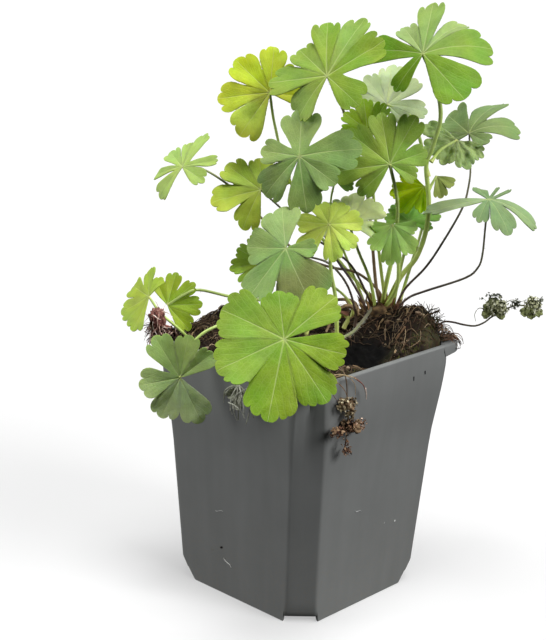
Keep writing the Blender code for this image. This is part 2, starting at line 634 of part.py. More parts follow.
def make_soil(cutters):
    """The root ball that fills the pot, with its heaped and crumbly top."""
    gap = WALL + CLEARANCE
    low = FLOOR + CLEARANCE
    plug = loft("plug", [(wall_section(z, gap), z) for z in (low, FOOT_TAPER_HEIGHT, 125)])
    top = bmesh.new()
    bmesh.ops.create_grid(top, x_segments=SOIL_CELLS, y_segments=SOIL_CELLS, size=RIM_WIDTH / 2 * MM)
    for vertex in top.verts:
        x, y = vertex.co.x / MM, vertex.co.y / MM
        vertex.co.z = soil_height(x, y) * MM
    bmesh.ops.triangulate(top, faces=top.faces)
    edges = [edge for edge in top.edges if edge.is_boundary]
    skirt = bmesh.ops.extrude_edge_only(top, edges=edges)["geom"]
    for vertex in (item for item in skirt if isinstance(item, bmesh.types.BMVert)):
        vertex.co.z = 0
    rim = [edge for edge in top.edges if edge.is_boundary]
    bmesh.ops.contextual_create(top, geom=rim)
    bmesh.ops.recalc_face_normals(top, faces=top.faces)
    soil = combined(plug, [bmesh_object("top", top)], "INTERSECT")
    soil = combined(soil, cutters, "DIFFERENCE")
    return finish(soil, "soil", PEAT_BROWN, 0.95)


def rootstock_shape(grow):
    shape = bmesh.new()
    bmesh.ops.create_icosphere(shape, subdivisions=2, radius=1)
    for vertex in shape.verts:
        knob = 1 + 0.1 * ROOTSTOCK_KNOBS * noise.noise(vertex.co * 2.0)
        scaled = [c * r * knob + c * grow for c, r in zip(vertex.co, ROOTSTOCK_RADII)]
        vertex.co = (Vector(scaled) + Vector(ROOTSTOCK_CENTRE)) * MM
    return bmesh_object("rootstock", shape)


def make_leafy_stem():
    """The tall stem with its branches and the leaves on them, grown as one piece."""
    main, *branches = STEM_BRANCHES
    stem = tube("leafy_stem", stalk_line(main), main.radius, STALK_END_TAPER)
    others = [tube("branch", smooth_line(b.route, STALK_STEP), b.radius, STALK_END_TAPER)
              for b in branches]
    others += [blade("stem_leaf", leaf) for leaf in STEM_LEAVES]
    return finish(combined(stem, others, "UNION"), "leafy_stem", LEAF_GREEN)


def make_leaf(name):
    """One leaf. A petiole of the blade's own green is fused with it, and a dark one stands apart."""
    leaf, stalk = LEAVES[name], STALKS[name]
    piece = blade(name, leaf)
    if stalk.colour == STALK_GREEN:
        petiole = tube("petiole", stalk_line(stalk), stalk.radius, STALK_END_TAPER)
        piece = combined(piece, [petiole], "UNION")
    else:
        petiole = tube("petiole", stalk_line(stalk, leaf, STALK_GAP), stalk.radius, STALK_END_TAPER)
        finish(petiole, "petiole_" + name, stalk.colour, 0.5)
    return finish(piece, "leaf_" + name, leaf.colour)


def make_withered(name):
    stalk, leaves = WITHERED[name]
    piece = tube(name, smooth_line(stalk.route, STALK_STEP), stalk.radius, STALK_END_TAPER)
    blades = [blade("crumpled", leaf) for leaf in leaves]
    return finish(combined(piece, blades, "UNION"), name, leaves[0].colour, 0.85)


def main():
    for obj in list(bpy.data.objects):
        bpy.data.objects.remove(obj)
    for name in ("hardy_geranium", "working"):
        bpy.context.scene.collection.children.link(bpy.data.collections.new(name))

    make_pot()
    make_leafy_stem()
    for name in LEAVES:
        make_leaf(name)
    for name in WITHERED:
        make_withered(name)

    stems = [STEM_BRANCHES[0], *STALKS.values()]
    lines = [(stalk_line(stalk), stalk.radius) for stalk in stems]
    lines += [(smooth_line(stalk.route, STALK_STEP), stalk.radius) for stalk, _ in WITHERED.values()]
    for name, root in SURFACE_ROOTS.items():
        line = smooth_line(root.route, STALK_STEP / 2)
        finish(tube(name, line, root.radius), name, root.colour, 0.8)
        lines.append((line, root.radius))

    rootstock = combined(rootstock_shape(0), [hole_cutter(*line) for line in lines], "DIFFERENCE")
    finish(rootstock, "rootstock", ROOT_BROWN, 0.85)
    make_soil([rootstock_shape(CLEARANCE)] + [hole_cutter(*line) for line in lines])
    bpy.data.collections.remove(bpy.data.collections["working"])


main()
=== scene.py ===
"""The looks of a hardy geranium in a square nursery pot, built round its solids.

Laid out as a Blender add-on: the settings below show in the 3D view's sidebar, and each button
there makes one group of pieces. Tables are in millimetres and degrees in the solids' own frame:
the origin is the centre of the pot's underside, +Z is up, and the pot's sides lie along X and Y.
"""

import math
import random
from typing import NamedTuple

import bpy
from bpy.props import FloatProperty, FloatVectorProperty, IntProperty, PointerProperty
from bpy.types import Operator, Panel, PropertyGroup
from mathutils import Matrix, Vector, noise


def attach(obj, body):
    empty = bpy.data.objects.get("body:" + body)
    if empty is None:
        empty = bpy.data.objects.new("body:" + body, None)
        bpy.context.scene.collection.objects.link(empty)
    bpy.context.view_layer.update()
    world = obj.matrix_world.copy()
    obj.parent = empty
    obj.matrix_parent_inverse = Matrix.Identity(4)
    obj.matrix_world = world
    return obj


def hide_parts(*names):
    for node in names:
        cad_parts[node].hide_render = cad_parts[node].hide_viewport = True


bl_info = {
    "name": "Potted hardy geranium",
    "version": (1, 0, 0),
    "blender": (4, 5, 0),
    "location": "3D View > Sidebar > Geranium",
    "description": "A hardy geranium with lobed leaves in a square nursery pot",
    "category": "Add Mesh",
}

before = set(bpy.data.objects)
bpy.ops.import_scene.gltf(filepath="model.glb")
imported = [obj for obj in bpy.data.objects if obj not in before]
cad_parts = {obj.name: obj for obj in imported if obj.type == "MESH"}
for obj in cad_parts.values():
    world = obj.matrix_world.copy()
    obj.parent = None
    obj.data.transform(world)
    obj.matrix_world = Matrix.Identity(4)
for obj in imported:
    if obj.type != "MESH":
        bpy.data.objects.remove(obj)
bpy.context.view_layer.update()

MM = 0.001

# Viewpoint, fitted to the pot's edges
CAMERA_PLACE = (392.3, -437.5, 283.0)
CAMERA_RIGHT = (0.72335, 0.68984, 0.02977)
CAMERA_UP = (-0.21585, 0.18496, 0.95875)
CAMERA_BACK = (0.65588, -0.69993, 0.28269)
SENSOR_HEIGHT = 36.0
LENS = 85.83

# Pot
RIM_WIDTH = 90.0
RIM_CORNER = 4.0
POT_HEIGHT = 103.0
BODY_HEIGHT = 97.8
BODY_TOP_WIDTH = 87.4
BODY_FOOT_WIDTH = 74.2
CORNER_CUT_TOP = 9.2
CORNER_CUT_LOW = 8.2
CORNER_CUT_FOOT = 13.5
CORNER_CUT_FRONT_FOOT = 9.0
FOOT_TAPER_HEIGHT = 9.0
WALL = 1.2
SKIRT = 1.6
EDGE_ROUNDING = 2.2
# how far the rounding reaches along each face, and how far before it the face has a point
EDGE_REACH = 0.414 * EDGE_ROUNDING
EDGE_LEAD = 0.6
# in each quarter of an outline, the point where the cut corner starts and its steps across
CUT_START = 2
CUT_STEPS = 16
# the skirt under each ear lies below this height, and rises by the second number at its tip
SKIRT_TOP = 99.0
SKIRT_RISE = 1.2
# the heights between which the sides swell out into the rim
FLARE_LOW = 62.0
FLARE_HIGH = 102.0
DRAIN_SLOT_HEIGHT = 2.5
DRAIN_HOLE_RADIUS = 3.5
DRAIN_HOLE_OFFSET = 17.0
FLOOR_LOW = 2.8
FLOOR_HIGH = 4.2

# Soil
SOIL_LEVEL = 102.0
SOIL_BRIM = 103.6
SOIL_ROUGHNESS = 1.6
SOIL_GRAIN = 9.0
# how much smaller its outline is than the pot's inner wall, and its cut corners
SOIL_GAP = 0.1
SOIL_CUT_GAP = 0.7
# how far below the surface each of the grid's outer rings lies; the last one is on the floor
SOIL_DEPTHS = (0, 1.5, 8, 30, 65, 96)
# how far out loose bits lie: along a side, and as x + y at a corner
SOIL_SIDE = 42.5
SOIL_CORNER = 76.0
# the middle of the hollow in front of the crown, which is painted near black as shade, and how far
# from it loose bits stay
HOLLOW = (26.0, 6.0)
HOLLOW_REACH = 10.5
# the rootstock, a knobbly lump that the petioles stand in
ROOTSTOCK_CENTRE = (13.5, 33.5, 106.0)
ROOTSTOCK_RADII = (12.0, 9.0, 8.0)
CROWN_HEIGHT = 109.0
# how many there are of what has no setting: threads of the right corner's tangle and past its rim,
# tufts of moss and leaflets in each, threads about the dried calyx and fibres at the rim below it
TANGLE_THREADS = 90
RIM_THREADS = 34
MOSS_TUFTS = 170
MOSS_LEAFLETS = 6
CALYX_THREADS = 26
RIM_FIBRES = 190

# Stalks: the girth at the end, how deep a foot is sunk, a dark or withered one's share of its
# solid's radius, the swelling of a foot and how much of the length it takes, and where the
# middle colour lies
STALK_END_TAPER = 0.7
ROOTED_DEPTH = 6.0
DARK_STALK_SHARE = 0.78
WITHERED_STALK_SHARE = 0.6
FOOT_SWELLING = 0.35
FOOT_SHARE = 0.12
MIDDLE_COLOUR_AT = 0.35
HAIRS_PER_MM = 1.6

# Blades: the notch beside a basal margin, the widest fan in degrees, and how far the margin waves
HUB_MARGIN = 1.6
WIDEST_FAN = 350.0
LEAF_WAVE = 0.8
# the slit beside a lobe that has a width of its own, and how much less often than its fullness
# says a gap between lobes closes
OPEN_SLIT = 0.04
GAP_CHANCE = 0.25
# where across the half lobe, in shares, two lobes count as apart, which makes their notch shallower
APART_SHARE = 0.85
SHALLOW_NOTCH = 0.6
# what a tone of 1 or -1 means: how far towards the pale colour, and the share of the colour's
# brightness left.
# On some leaves the tones are painted light and shade, for how a lobe lies to the lamps
PALER = 0.6
DARKER = 0.6
# where along a lobe a patch of colour is strongest, and how far it reaches; low_grey's patch is a
# withered spot, and top_left_yellow's is painted light
PATCH_AT = 0.6
PATCH_REACH = 0.35
# the seeds' spread, so that no two lobes or gaps draw alike
LOBE_SEEDS = 13
GAP_SEEDS = 97

# The record's material slots, which the tables name
LEAF_GREEN = "leaf_green"
LEAF_BLUE_GREEN = "leaf_blue_green"
LEAF_DARK_GREEN = "leaf_dark_green"
LEAF_PALE_GREEN = "leaf_pale_green"
LEAF_YELLOW = "leaf_yellow"
STALK_GREEN = LEAF_GREEN
STALK_DARK = "petiole_dark"
STALK_BROWN = "petiole_brown"
DRIED_GREY = "dried_grey"
DRIED_BROWN = "dried_brown"
CALYX_PINK = "calyx_pink"
ROOT_BROWN = "root_bark"


class Mound(NamedTuple):
    """A rise or a hollow of the soil's surface, as a round bump."""

    x: float
    y: float
    height: float
    radius: float


MOUNDS = (
    Mound(14, 33, 9, 15),
    Mound(36, 37, 13, 14),
    Mound(-30, -8, 9, 15),
    Mound(-22, -30, 5, 10),
    Mound(-20, 30, 4, 18),
    Mound(29, 2, -9, 11),
)


class Leaf(NamedTuple):
    """A palmate leaf blade. Its lobes are (angle from the middle lobe, length, downward curl), and
    a fourth number, if any, is half the lobe's width in degrees where it stands apart. The tint is
    its sRGB colour, the tones say how much paler (+) or darker (-) each lobe is, on some leaves as
    painted light and shade for how a lobe lies to the lamps, and the patches are (lobe, colour,
    share): a withered spot on low_grey, and painted light on top_left_yellow's lowest lobe."""

    hub: tuple
    bearing: float
    lean: float
    turn: float
    lobes: tuple
    tint: str
    colour: str = LEAF_GREEN
    sinus: float = 0.35
    fullness: float = 0.9
    pleat: float = 0.12
    crumple: float = 0.0
    teeth: int = 3
    tones: tuple = ()
    stains_and_painted_light: tuple = ()


class Stalk(NamedTuple):
    """A petiole or stem: its radius at the base and the points that its middle line runs through.
    One that carries a blade ends at the blade's hub, which its route leaves out."""

    radius: float
    route: tuple
    colour: str = STALK_GREEN
    shades: tuple = ()


# Leaves as (blade, stalk). The first four grow on the tall leafy stem, fused with it
STEM_LEAVES = {
    "top_right": (Leaf((27, 32, 217), -65, 45, 180, ((-133, 27, 12, 33), (-60, 28, 32, 24),
        (-24, 28, 34, 10), (3, 26, -4, 16), (37, 19, 0, 18), (83, 24, 10, 21), (151, 18, 25, 16)),
        "759939", tones=(-0.05, 0.15, 0.6, 0.4, 0.65, -0.1, -0.1)),
        Stalk(1.5, ((14.5, 34.5, 114), (19, 35.5, 125.5), (24, 39, 134.5), (27, 40.5, 146),
        (27.5, 40.5, 158.5), (26, 39.5, 172.5), (28, 40, 179.5), (30.5, 41, 192),
        (29.5, 38, 205)))),
    "back_pale": (Leaf((5, 39, 194), -60, 45, 185, ((-135, 14, 0), (-92, 16, 10), (-42, 17, 0),
        (0, 22, 0), (34, 18, 0), (75, 14, 0), (125, 13, 0)), "C2D4A4"),
        Stalk(1.1, ((27, 40, 168), (24, 40, 176), (20.5, 41, 183), (15, 42.5, 190)))),
    "right_crinkled": (Leaf((31, 52, 182), -50, 50, 320, ((-75, 15, 10), (-32, 14, 0),
        (10, 12, 0), (62, 13, 10), (105, 12, 10)), "A0B67A", crumple=1.2),
        Stalk(1.0, ((27.5, 40.5, 174), (28.5, 45, 178.5)))),
    "bract": (Leaf((28, 44, 168), -50, 60, 45, ((-30, 9, 0), (20, 8, 0)), "A7B86F", sinus=0.7),
        Stalk(0.9, ((27.3, 40.5, 163), (27.8, 42.5, 166)))),
}

# Leaves on petioles of their own that rise from the rootstock
LEAVES = {
    "top_middle": (Leaf((4, 3, 208), -80, 55, 195, ((-134, 18, 10, 32), (-59, 26, 5, 21),
        (-25, 28, 0, 18), (9, 27, 0, 18), (44, 22, 8, 20), (86, 26, 8, 21), (137, 20, 15, 33)),
        "87A44A", sinus=0.6, tones=(-0.1, 0, 0.2, 0, 0.1, 0.1, 0.1)),
        Stalk(1.0, ((10, 34.5, 113), (8.5, 33, 122), (6.5, 31, 143.5), (4.5, 30, 158),
        (0, 32, 174), (-6, 28, 187), (-5, 19, 199)), STALK_BROWN)),
    # the paler tones of its two lower lobes and the pale patch on its lowest one are painted light
    "top_left_yellow": (Leaf((-26, 3, 198), -45, 60, 225, ((-140, 13, 0, 22), (-95, 16, 0, 24),
        (-49, 20, 0, 21), (0, 20, 0, 26), (50, 21, 5, 22), (101, 21, 5, 27)), "BED152",
        LEAF_YELLOW, sinus=0.5, tones=(0, 0, 0, 0, 0.1, 0.2), stains_and_painted_light=((5, "D2F07A", 0.8),)),
        Stalk(1.0, ((4.5, 36, 113), (-5.5, 30, 125.5), (-15, 22.5, 140.5), (-23, 13, 162),
        (-26.5, 7, 184.5)))),
    "far_left_small": (Leaf((-40, -31, 170), -90, 45, 190, ((-112, 12, 10, 26),
        (-71, 15.5, 10, 12), (-8, 18, 0, 13), (19, 15, 5, 12), (54, 15.5, 10, 19),
        (98, 16, 15, 13), (148, 15, 20, 22)), "A6C070", LEAF_PALE_GREEN),
        Stalk(0.8, ((9.5, 38, 112.5), (6.5, 35.5, 119), (1.5, 28.5, 125.5), (-5, 19.5, 128),
        (-11, 11.5, 132), (-18, 3, 140.5), (-24.5, -3, 149.5), (-31, -6, 156.5),
        (-35, -12.5, 162.5), (-38, -21, 168)), STALK_BROWN)),
    "left_yellow": (Leaf((-20, -7, 161), -50, 45, 230, ((-100, 14, 0), (-45, 16, 0), (0, 19, 5),
        (55, 21, 15), (108, 17, 20)), "B3C95E", LEAF_YELLOW, sinus=0.6, fullness=1.0),
        Stalk(0.9, ((8.5, 30.5, 113), (3, 25.5, 127.5), (-2, 20, 134.5), (-9, 11, 142),
        (-14.5, 1.5, 152)), STALK_DARK)),
    "left_blue": (Leaf((2, -9, 178), -65, 65, 205, ((-190, 22, 18, 25), (-145, 19, 8, 22),
        (-98, 23, 12, 27), (-18, 19, 5, 34), (61, 16.5, 8, 24), (114, 21, 20, 29)), "87A262",
        LEAF_BLUE_GREEN, sinus=0.45, tones=(-0.3, -0.5, -0.1, 0.15, 0.15, -0.1)),
        Stalk(1.0, ((11, 24, 113.5), (7, 19.5, 124.5), (1, 14, 136), (-0.5, 5, 153),
        (0.5, -4, 168)), STALK_DARK)),
    "middle_pale": (Leaf((24, 19, 175), -45, 70, 190, ((-125, 12, 0), (-78, 16, 0), (-38, 22, 0),
        (0, 21, 0), (42, 21, 0), (88, 23, 10), (125, 17, 20)), "90AD56", LEAF_PALE_GREEN,
        sinus=0.5, fullness=1.0),
        Stalk(1.3, ((12.5, 33, 112.5), (15.5, 31.5, 124), (18, 31.5, 136), (20, 30.5, 148),
        (24, 24.5, 161)))),
    "back_bright": (Leaf((7, 25, 185), -50, 55, 180, ((-105, 10, 0), (-65, 12, 0), (-28, 14, 0),
        (8, 15, 0), (48, 13, 0), (92, 11, 0)), "82A63C", sinus=0.6, fullness=1.0),
        Stalk(1.0, ((8, 40.5, 111.5), (6.5, 38.5, 126), (6, 35, 143), (6, 30.5, 164.5)))),
    "right_dark": (Leaf((29.5, 62, 183.5), -100, 50, 198, ((-118, 12, 0, 24), (-60, 23, 80, 24),
        (-6, 25, 52, 28), (52, 22, 10, 28), (102, 11, 0, 20)), "7F9862", LEAF_DARK_GREEN,
        sinus=0.4, tones=(0.1, -0.15, -0.1, -0.4, -0.2)),
        Stalk(0.9, ((18, 35.5, 113), (20.5, 37.5, 121), (25, 44, 129.5), (28, 49.5, 138.5),
        (32, 57, 153.5), (32.5, 60, 163.5), (31.5, 61.5, 171.5)), STALK_DARK)),
    "right_drooping": (Leaf((49, 51, 161), -48, 20, 80, ((-158, 26, 14, 15), (-103, 12, 30, 22),
        (-52, 16, 26, 27), (-3, 23, 50, 17), (48, 12, -8, 5), (74, 11, -8, 5), (120, 11, 15, 22)),
        "809A6C", LEAF_DARK_GREEN, tones=(0.6, 0, 0, 0.2, -0.4, -0.4, 0)),
        Stalk(0.9, ((20.5, 33, 113), (24.5, 35, 118.5), (30.5, 38, 122), (42, 48.5, 128),
        (46, 51, 132.5), (47.5, 51.5, 138), (48, 51.5, 150)), STALK_DARK)),
    "young_yellow": (Leaf((20, 47, 162), -50, 60, 295, ((-50, 11, 0), (-15, 14, 0), (20, 14, 0),
        (58, 11, 0)), "CFF450", LEAF_YELLOW, sinus=0.8, fullness=1.0, pleat=0.35),
        Stalk(1.0, ((16.5, 39, 112.5), (16, 44, 123.5), (16, 51, 140), (18, 52.5, 154)))),
    "middle_brownish": (Leaf((9, 14, 149), -60, 45, 185, ((-95, 13, 30), (-42, 18, 30),
        (0, 19, 20), (40, 17, 20), (88, 13, 30)), "D2E6A4", LEAF_PALE_GREEN, sinus=0.6,
        fullness=1.0),
        Stalk(1.0, ((11, 30.5, 112), (11, 26, 125), (10.5, 18.5, 138)))),
    "middle_yellow": (Leaf((15, -5, 153), -60, 50, 160, ((-145, 15, 20), (-105, 14, 10),
        (-60, 13, 0), (0, 11, 0), (55, 11, 0), (108, 13, 10), (165, 16, 20)), "B9D06C",
        LEAF_YELLOW, sinus=0.55),
        Stalk(1.2, ((17.5, -0.5, 108), (17.5, -2, 122.5), (17, -5, 134.5), (16.5, -5.5, 143)))),
    "low_grey": (Leaf((10, -23.5, 145.5), -75, 60, 320, ((-116, 18, 0, 38), (-43, 17, 0, 34),
        (12, 24, 10, 27), (77, 24, 18, 40), (138, 13, 0, 22)), "8BA866", LEAF_BLUE_GREEN,
        sinus=0.55, tones=(0.3, 0.1, 0, 0, 0), stains_and_painted_light=((3, "8A7A5A", 0.5),)),
        Stalk(0.9, ((11, 18, 112.5), (10.5, 12.5, 125), (8.5, 3, 135), (6.5, -10.5, 140)),
        STALK_DARK)),
    "low_small_yellow": (Leaf((-17, -7, 132), -50, 50, 230, ((-65, 12, 0), (-25, 14, 0),
        (12, 13, 0), (55, 14, 0), (95, 14, 0)), "98B451", LEAF_YELLOW),
        Stalk(0.8, ((3.5, 24.5, 112.5), (-1.5, 19, 120), (-10, 7, 127)))),
    "back_dark_small": (Leaf((17, 42, 148), -60, 50, 190, ((-112, 10, 0), (-78, 13, 0),
        (-44, 11, 0), (0, 9, 0), (42, 11, 0), (80, 10, 0)), "A4D478", LEAF_DARK_GREEN),
        Stalk(1.1, ((13, 40, 113), (14.5, 41.5, 128.5), (17, 42.5, 142)))),
    "low_middle_green": (Leaf((22.5, 24.5, 150), -50, 75, 5, ((-85, 8, 0), (-42, 13, 0),
        (-5, 16, 0), (35, 14, 0), (80, 10, 0)), "B0D47C", sinus=0.6, fullness=1.0),
        Stalk(1.2, ((14.5, 32.5, 112.5), (21.5, 31, 124), (22.5, 28.5, 139)))),
    "inner_dark": (Leaf((-2, 17, 165), -50, 50, 185, ((-120, 8, 0), (-65, 9, 0), (0, 9, 0),
        (55, 9, 0), (105, 9, 0)), "708E42", LEAF_DARK_GREEN),
        Stalk(0.8, ((4, 31.5, 112.5), (-1, 28.5, 126), (-4.5, 23, 141), (-5, 18.5, 154)))),
    "front_large": (Leaf((36, -51, 121), -50, 55, 290, ((-155, 25, 0), (-100, 19, 0),
        (-45, 26.5, 0), (8, 27, 0), (62, 30, 5), (108, 27, 5), (148, 23.5, 0)), "84A344",
        sinus=0.76, fullness=1.0, pleat=0.09, teeth=5, tones=(-0.1, -0.25, 0.1, 0.1, 0, 0, -0.1)),
        Stalk(0.9, ((8.5, 31.5, 111), (13, 24.5, 112), (20.5, 10, 111.5), (27.5, -5, 111.5),
        (34, -26, 114.5), (36, -42.5, 118.5)), shades=("6A6450", "6C6A4C", "A8BC6C"))),
    # the paler tones of its three lower lobes are painted light, where they face away from the
    # lamps
    "left_hanging": (Leaf((-11, -58, 96), -45, 73, 235, ((-107, 16, 0, 20), (-65, 17, 0, 22),
        (-22, 18.5, 0, 23), (47, 16, -8, 30), (101, 17.5, -14, 27), (152, 19, -16, 28)), "A2BE78",
        LEAF_BLUE_GREEN, sinus=0.4, tones=(0.1, 0, 0, 0.4, 1, 1)),
        Stalk(1.0, ((-2, 3, 108), (-3, -8, 113.5), (-6, -31, 115), (-10.5, -45.5, 112),
        (-13, -53, 104.5), (-12, -56.6, 98.5)))),
    "left_rim_fan": (Leaf((-37, -41, 116), -50, 60, 130, ((-85, 13, 0), (-35, 14, 0), (3, 14, 0),
        (40, 14, 0), (78, 12, 0)), "98B34B", sinus=0.5),
        Stalk(1.0, ((6.5, 16.5, 111), (-7.5, -1.5, 116), (-21, -18.5, 118.5), (-29.5, -30.5, 122),
        (-32.5, -36, 120.5)))),
    "far_left_fan": (Leaf((-38, -50, 121), -100, 60, 270, ((-95, 9, 0), (-48, 14, 0), (-5, 18, 0),
        (40, 16, 0), (90, 15, 0)), "9DB654", LEAF_PALE_GREEN, sinus=0.5),
        Stalk(0.9, ((-27, -37, 102), (-28, -43.5, 109), (-32.5, -48.5, 115)))),
}

# Withered leaves, which hang or lie at the rim: (stalk, crumpled blades along it)
WITHERED = {
    "shrivelled_leaf": (Stalk(0.9, ((33, 40.5, 104), (36, 43, 109), (39.2, 45.4, 109.5),
        (42.6, 48.4, 108.6), (46, 52, 108.1), (48.7, 55, 109.8), (50.9, 57.1, 112.4),
        (57, 62.6, 117), (63, 67.5, 117)), STALK_DARK), (
        Leaf((51, 57, 114), -50, 60, 180, ((-110, 5, 10), (-55, 6, 10), (0, 6, 0), (55, 5, 0),
            (110, 5, 0)), "8A9160", DRIED_GREY, sinus=0.5, fullness=1.0, crumple=2.0),
        Leaf((62, 66.5, 117), -40, 50, 60, ((-110, 5, 10), (-55, 5, 10), (0, 6, 20), (55, 5, 0),
            (110, 4, 0)), "8A9160", DRIED_GREY, sinus=0.5, fullness=1.0, crumple=2.0),)),
    "brown_hanging_leaf": (Stalk(0.45, ((33, -22, 101), (39, -25, 106), (45, -28.5, 106.5),
        (47.6, -29, 103), (47.6, -28, 94), (47.4, -27, 86), (47, -27.5, 76)), DRIED_BROWN), (
        Leaf((48, -28, 94), -20, 80, 0, ((-120, 3.4, 20), (-60, 3.4, 30), (0, 2.4, 20),
            (60, 3.6, 30), (120, 3.4, 20)), "7A644C", DRIED_BROWN, sinus=0.3, crumple=1.6),
        Leaf((47.8, -25, 84.5), -30, 85, 0, ((-110, 4.2, 20), (-55, 3.4, 30), (0, 3, 20),
            (55, 4, 0), (110, 4.2, 30)), "7A644C", DRIED_BROWN, sinus=0.3, crumple=1.6),)),
    "grey_hanging_leaf": (Stalk(0.7, ((15, -34, 100), (14, -40, 106), (12.5, -46, 106.5),
        (12, -48.5, 101), (12, -49, 97)), DRIED_GREY), (
        Leaf((12, -49, 97), -70, 80, 0, ((-40, 8, 5), (0, 10, 5), (36, 9, 5)), "ADAE9D",
            DRIED_GREY, sinus=0.2, fullness=0.8, crumple=1.2, tones=(0.3, -0.1, 0.3)),)),
    "dried_calyx": (Stalk(0.9, ((-34, -36, 101), (-34.5, -41, 107), (-34, -46, 109.5),
        (-33.4, -49, 111)), CALYX_PINK), ()),
}

# Dry curled bits, coloured dark to pale from the middle of a clump outwards, the dark inside a
# clump being painted shade, and the clumps round the withered leaves as (centre, radii, how many,
# size of each, colours)
OLIVE_BITS = ("74755A", "9A9C78", "BEC09C", "DADBC2")
GREY_BITS = ("484C44", "646A5C", "84887A", "A6AA9C")
TAN_BITS = ("4C3C2A", "7C6C50", "A4967A", "C8BC9C")
PINK_BITS = ("5A3E30", "86664E", "AC8C74", "D6BEAA")
BROWN_BITS = ("35201A", "56382A", "7A5A42", "A68A6C")
CLUMPS = {
    "shrivelled_leaf": (
        ((51.4, 58.7, 116), (4.8, 5, 4.1), 330, 0.72, OLIVE_BITS),
        ((49.5, 58.7, 120.4), (3.4, 3.6, 0.9), 34, 0.8, GREY_BITS),
        ((46.6, 55.4, 119), (1.4, 1.4, 1.2), 7, 0.5, GREY_BITS),
        ((57.4, 63.1, 117.8), (2, 2, 2), 46, 0.7, GREY_BITS),
        ((62.4, 67.3, 117), (3.4, 3.7, 4.4), 250, 0.75, OLIVE_BITS),
        ((64.4, 70, 119.2), (1.2, 1.6, 2), 34, 0.8, GREY_BITS),
    ),
    "brown_hanging_leaf": (
        ((47.8, -28.3, 94), (2, 5.6, 2.3), 120, 0.8, TAN_BITS),
        ((47.8, -25.8, 89.5), (1.6, 2.6, 3.2), 70, 0.75, TAN_BITS),
        ((47.8, -26, 84.8), (2, 2.8, 2.8), 70, 0.8, BROWN_BITS),
        ((47.8, -20.8, 83.9), (1.8, 4, 2.4), 76, 0.8, PINK_BITS),
        ((47.8, -32.8, 84.1), (1.8, 3.6, 2.6), 70, 0.85, BROWN_BITS),
        ((47.4, -28, 79), (1.2, 1.4, 3), 14, 0.7, BROWN_BITS),
        ((47.2, -26.5, 74.9), (1.4, 2.5, 1.7), 34, 0.7, PINK_BITS),
    ),
}

# Loose dead threads at the rim beside the withered leaves: (radius, colour, route)
LOOSE_THREADS = {
    "brown_hanging_leaf": (
        (0.3, "B9A37C", ((43, -36, 104.5), (46, -33, 106), (48, -30, 105.6), (48.2, -26, 104),
         (48.2, -22, 101.5))),
        (0.28, "8E5648", ((48, -25, 103.6), (48.4, -20.5, 100.1), (48, -18, 96.5),
         (47.6, -17, 93.5))),
        (0.42, "D8C6BA", ((48.2, -18.6, 98), (48, -17.6, 95.6), (47.6, -17.1, 93.2))),
        (0.22, "8A6A4C", ((44.5, -34, 103.6), (47, -33, 103), (48, -30, 99.5), (48, -28, 95))),
        (0.2, "6E4E3C", ((43.8, -38, 103.6), (46.5, -36.8, 102), (47.4, -35, 98),
         (47.6, -32, 95))),
        (0.2, "A58C68", ((43.5, -31, 104), (46.6, -28, 104.6), (47.8, -24.5, 101),
         (48, -24, 96.5))),
        (0.18, "5B4034", ((47.6, -27, 79), (47.4, -28.5, 76), (47.2, -26, 73.4),
         (47.2, -24.4, 74.5))),
    ),
    "grey_hanging_leaf": (
        (0.3, "C4C5B6", ((12, -49.2, 97), (10, -50.6, 93), (9.4, -51, 88.5), (10.2, -50.6, 85))),
        (0.26, "B9BAA9", ((12, -49.4, 97), (12.4, -51, 92), (12, -51.6, 87), (13, -51, 83.6))),
        (0.26, "CDCEC0", ((12, -49.2, 97), (15, -50.6, 93.4), (16.6, -51, 89.6),
         (16.4, -50.6, 85.4))),
        (0.22, "A6A793", ((12, -49, 97), (8, -49.6, 95), (5.4, -50, 91.4), (4.6, -49.8, 88))),
        (0.28, "B7B9A6", ((5.1, -50.2, 90.2), (6.1, -50.6, 93.7), (10.3, -50.2, 96.8),
         (15, -49.6, 98.8))),
        (0.24, "CDCFC0", ((9, -50.6, 86.4), (10.5, -51.2, 90.8), (13.6, -50.6, 94.8),
         (17.2, -50, 97.3))),
        (0.26, "A9AB98", ((12.9, -50.2, 83.5), (14.3, -51.4, 88.7), (15.7, -51, 93.8),
         (17.7, -50, 98.3))),
        (0.24, "BFC1B0", ((17.1, -50.2, 83), (19.1, -50.8, 88.3), (18.4, -50.6, 92.9),
         (16.6, -50, 97.2))),
        (0.22, "9EA08C", ((21.2, -50.2, 86.6), (19, -50.8, 91.1), (18.8, -50.6, 95),
         (17.1, -50, 98.1))),
        (0.3, "D2D4C6", ((7.9, -50.6, 89.3), (11.6, -51.4, 89.5), (15.4, -51.4, 88.1),
         (17.1, -50.8, 85.4))),
    ),
    "shrivelled_leaf": (
        (0.22, "6B6E52", ((50, 55, 114.5), (47.6, 52, 116), (46.6, 50.4, 113.5),
         (47.2, 50.6, 110.5))),
        (0.2, "7C7F60", ((52, 58.5, 116), (56, 61.5, 119.4), (59, 64, 119), (62, 67, 120.5))),
    ),
}

# The dried calyx
CALYX_CENTRE = (-33.3, -49.6, 112.8)
CALYX_RADII = (3.4, 3.2, 4.6)

# Roots that run over the soil
SURFACE_ROOTS = {
    "surface_root_left": Stalk(0.8, ((5.5, 28, 107), (2, 27, 113.5), (-4, 20, 113.5),
        (-7, 13, 107)), ROOT_BROWN),
    "surface_root_front": Stalk(0.8, ((6.5, 27, 107), (6.5, 20, 114), (6, 12, 113), (7, 5, 106)),
        ROOT_BROWN),
}

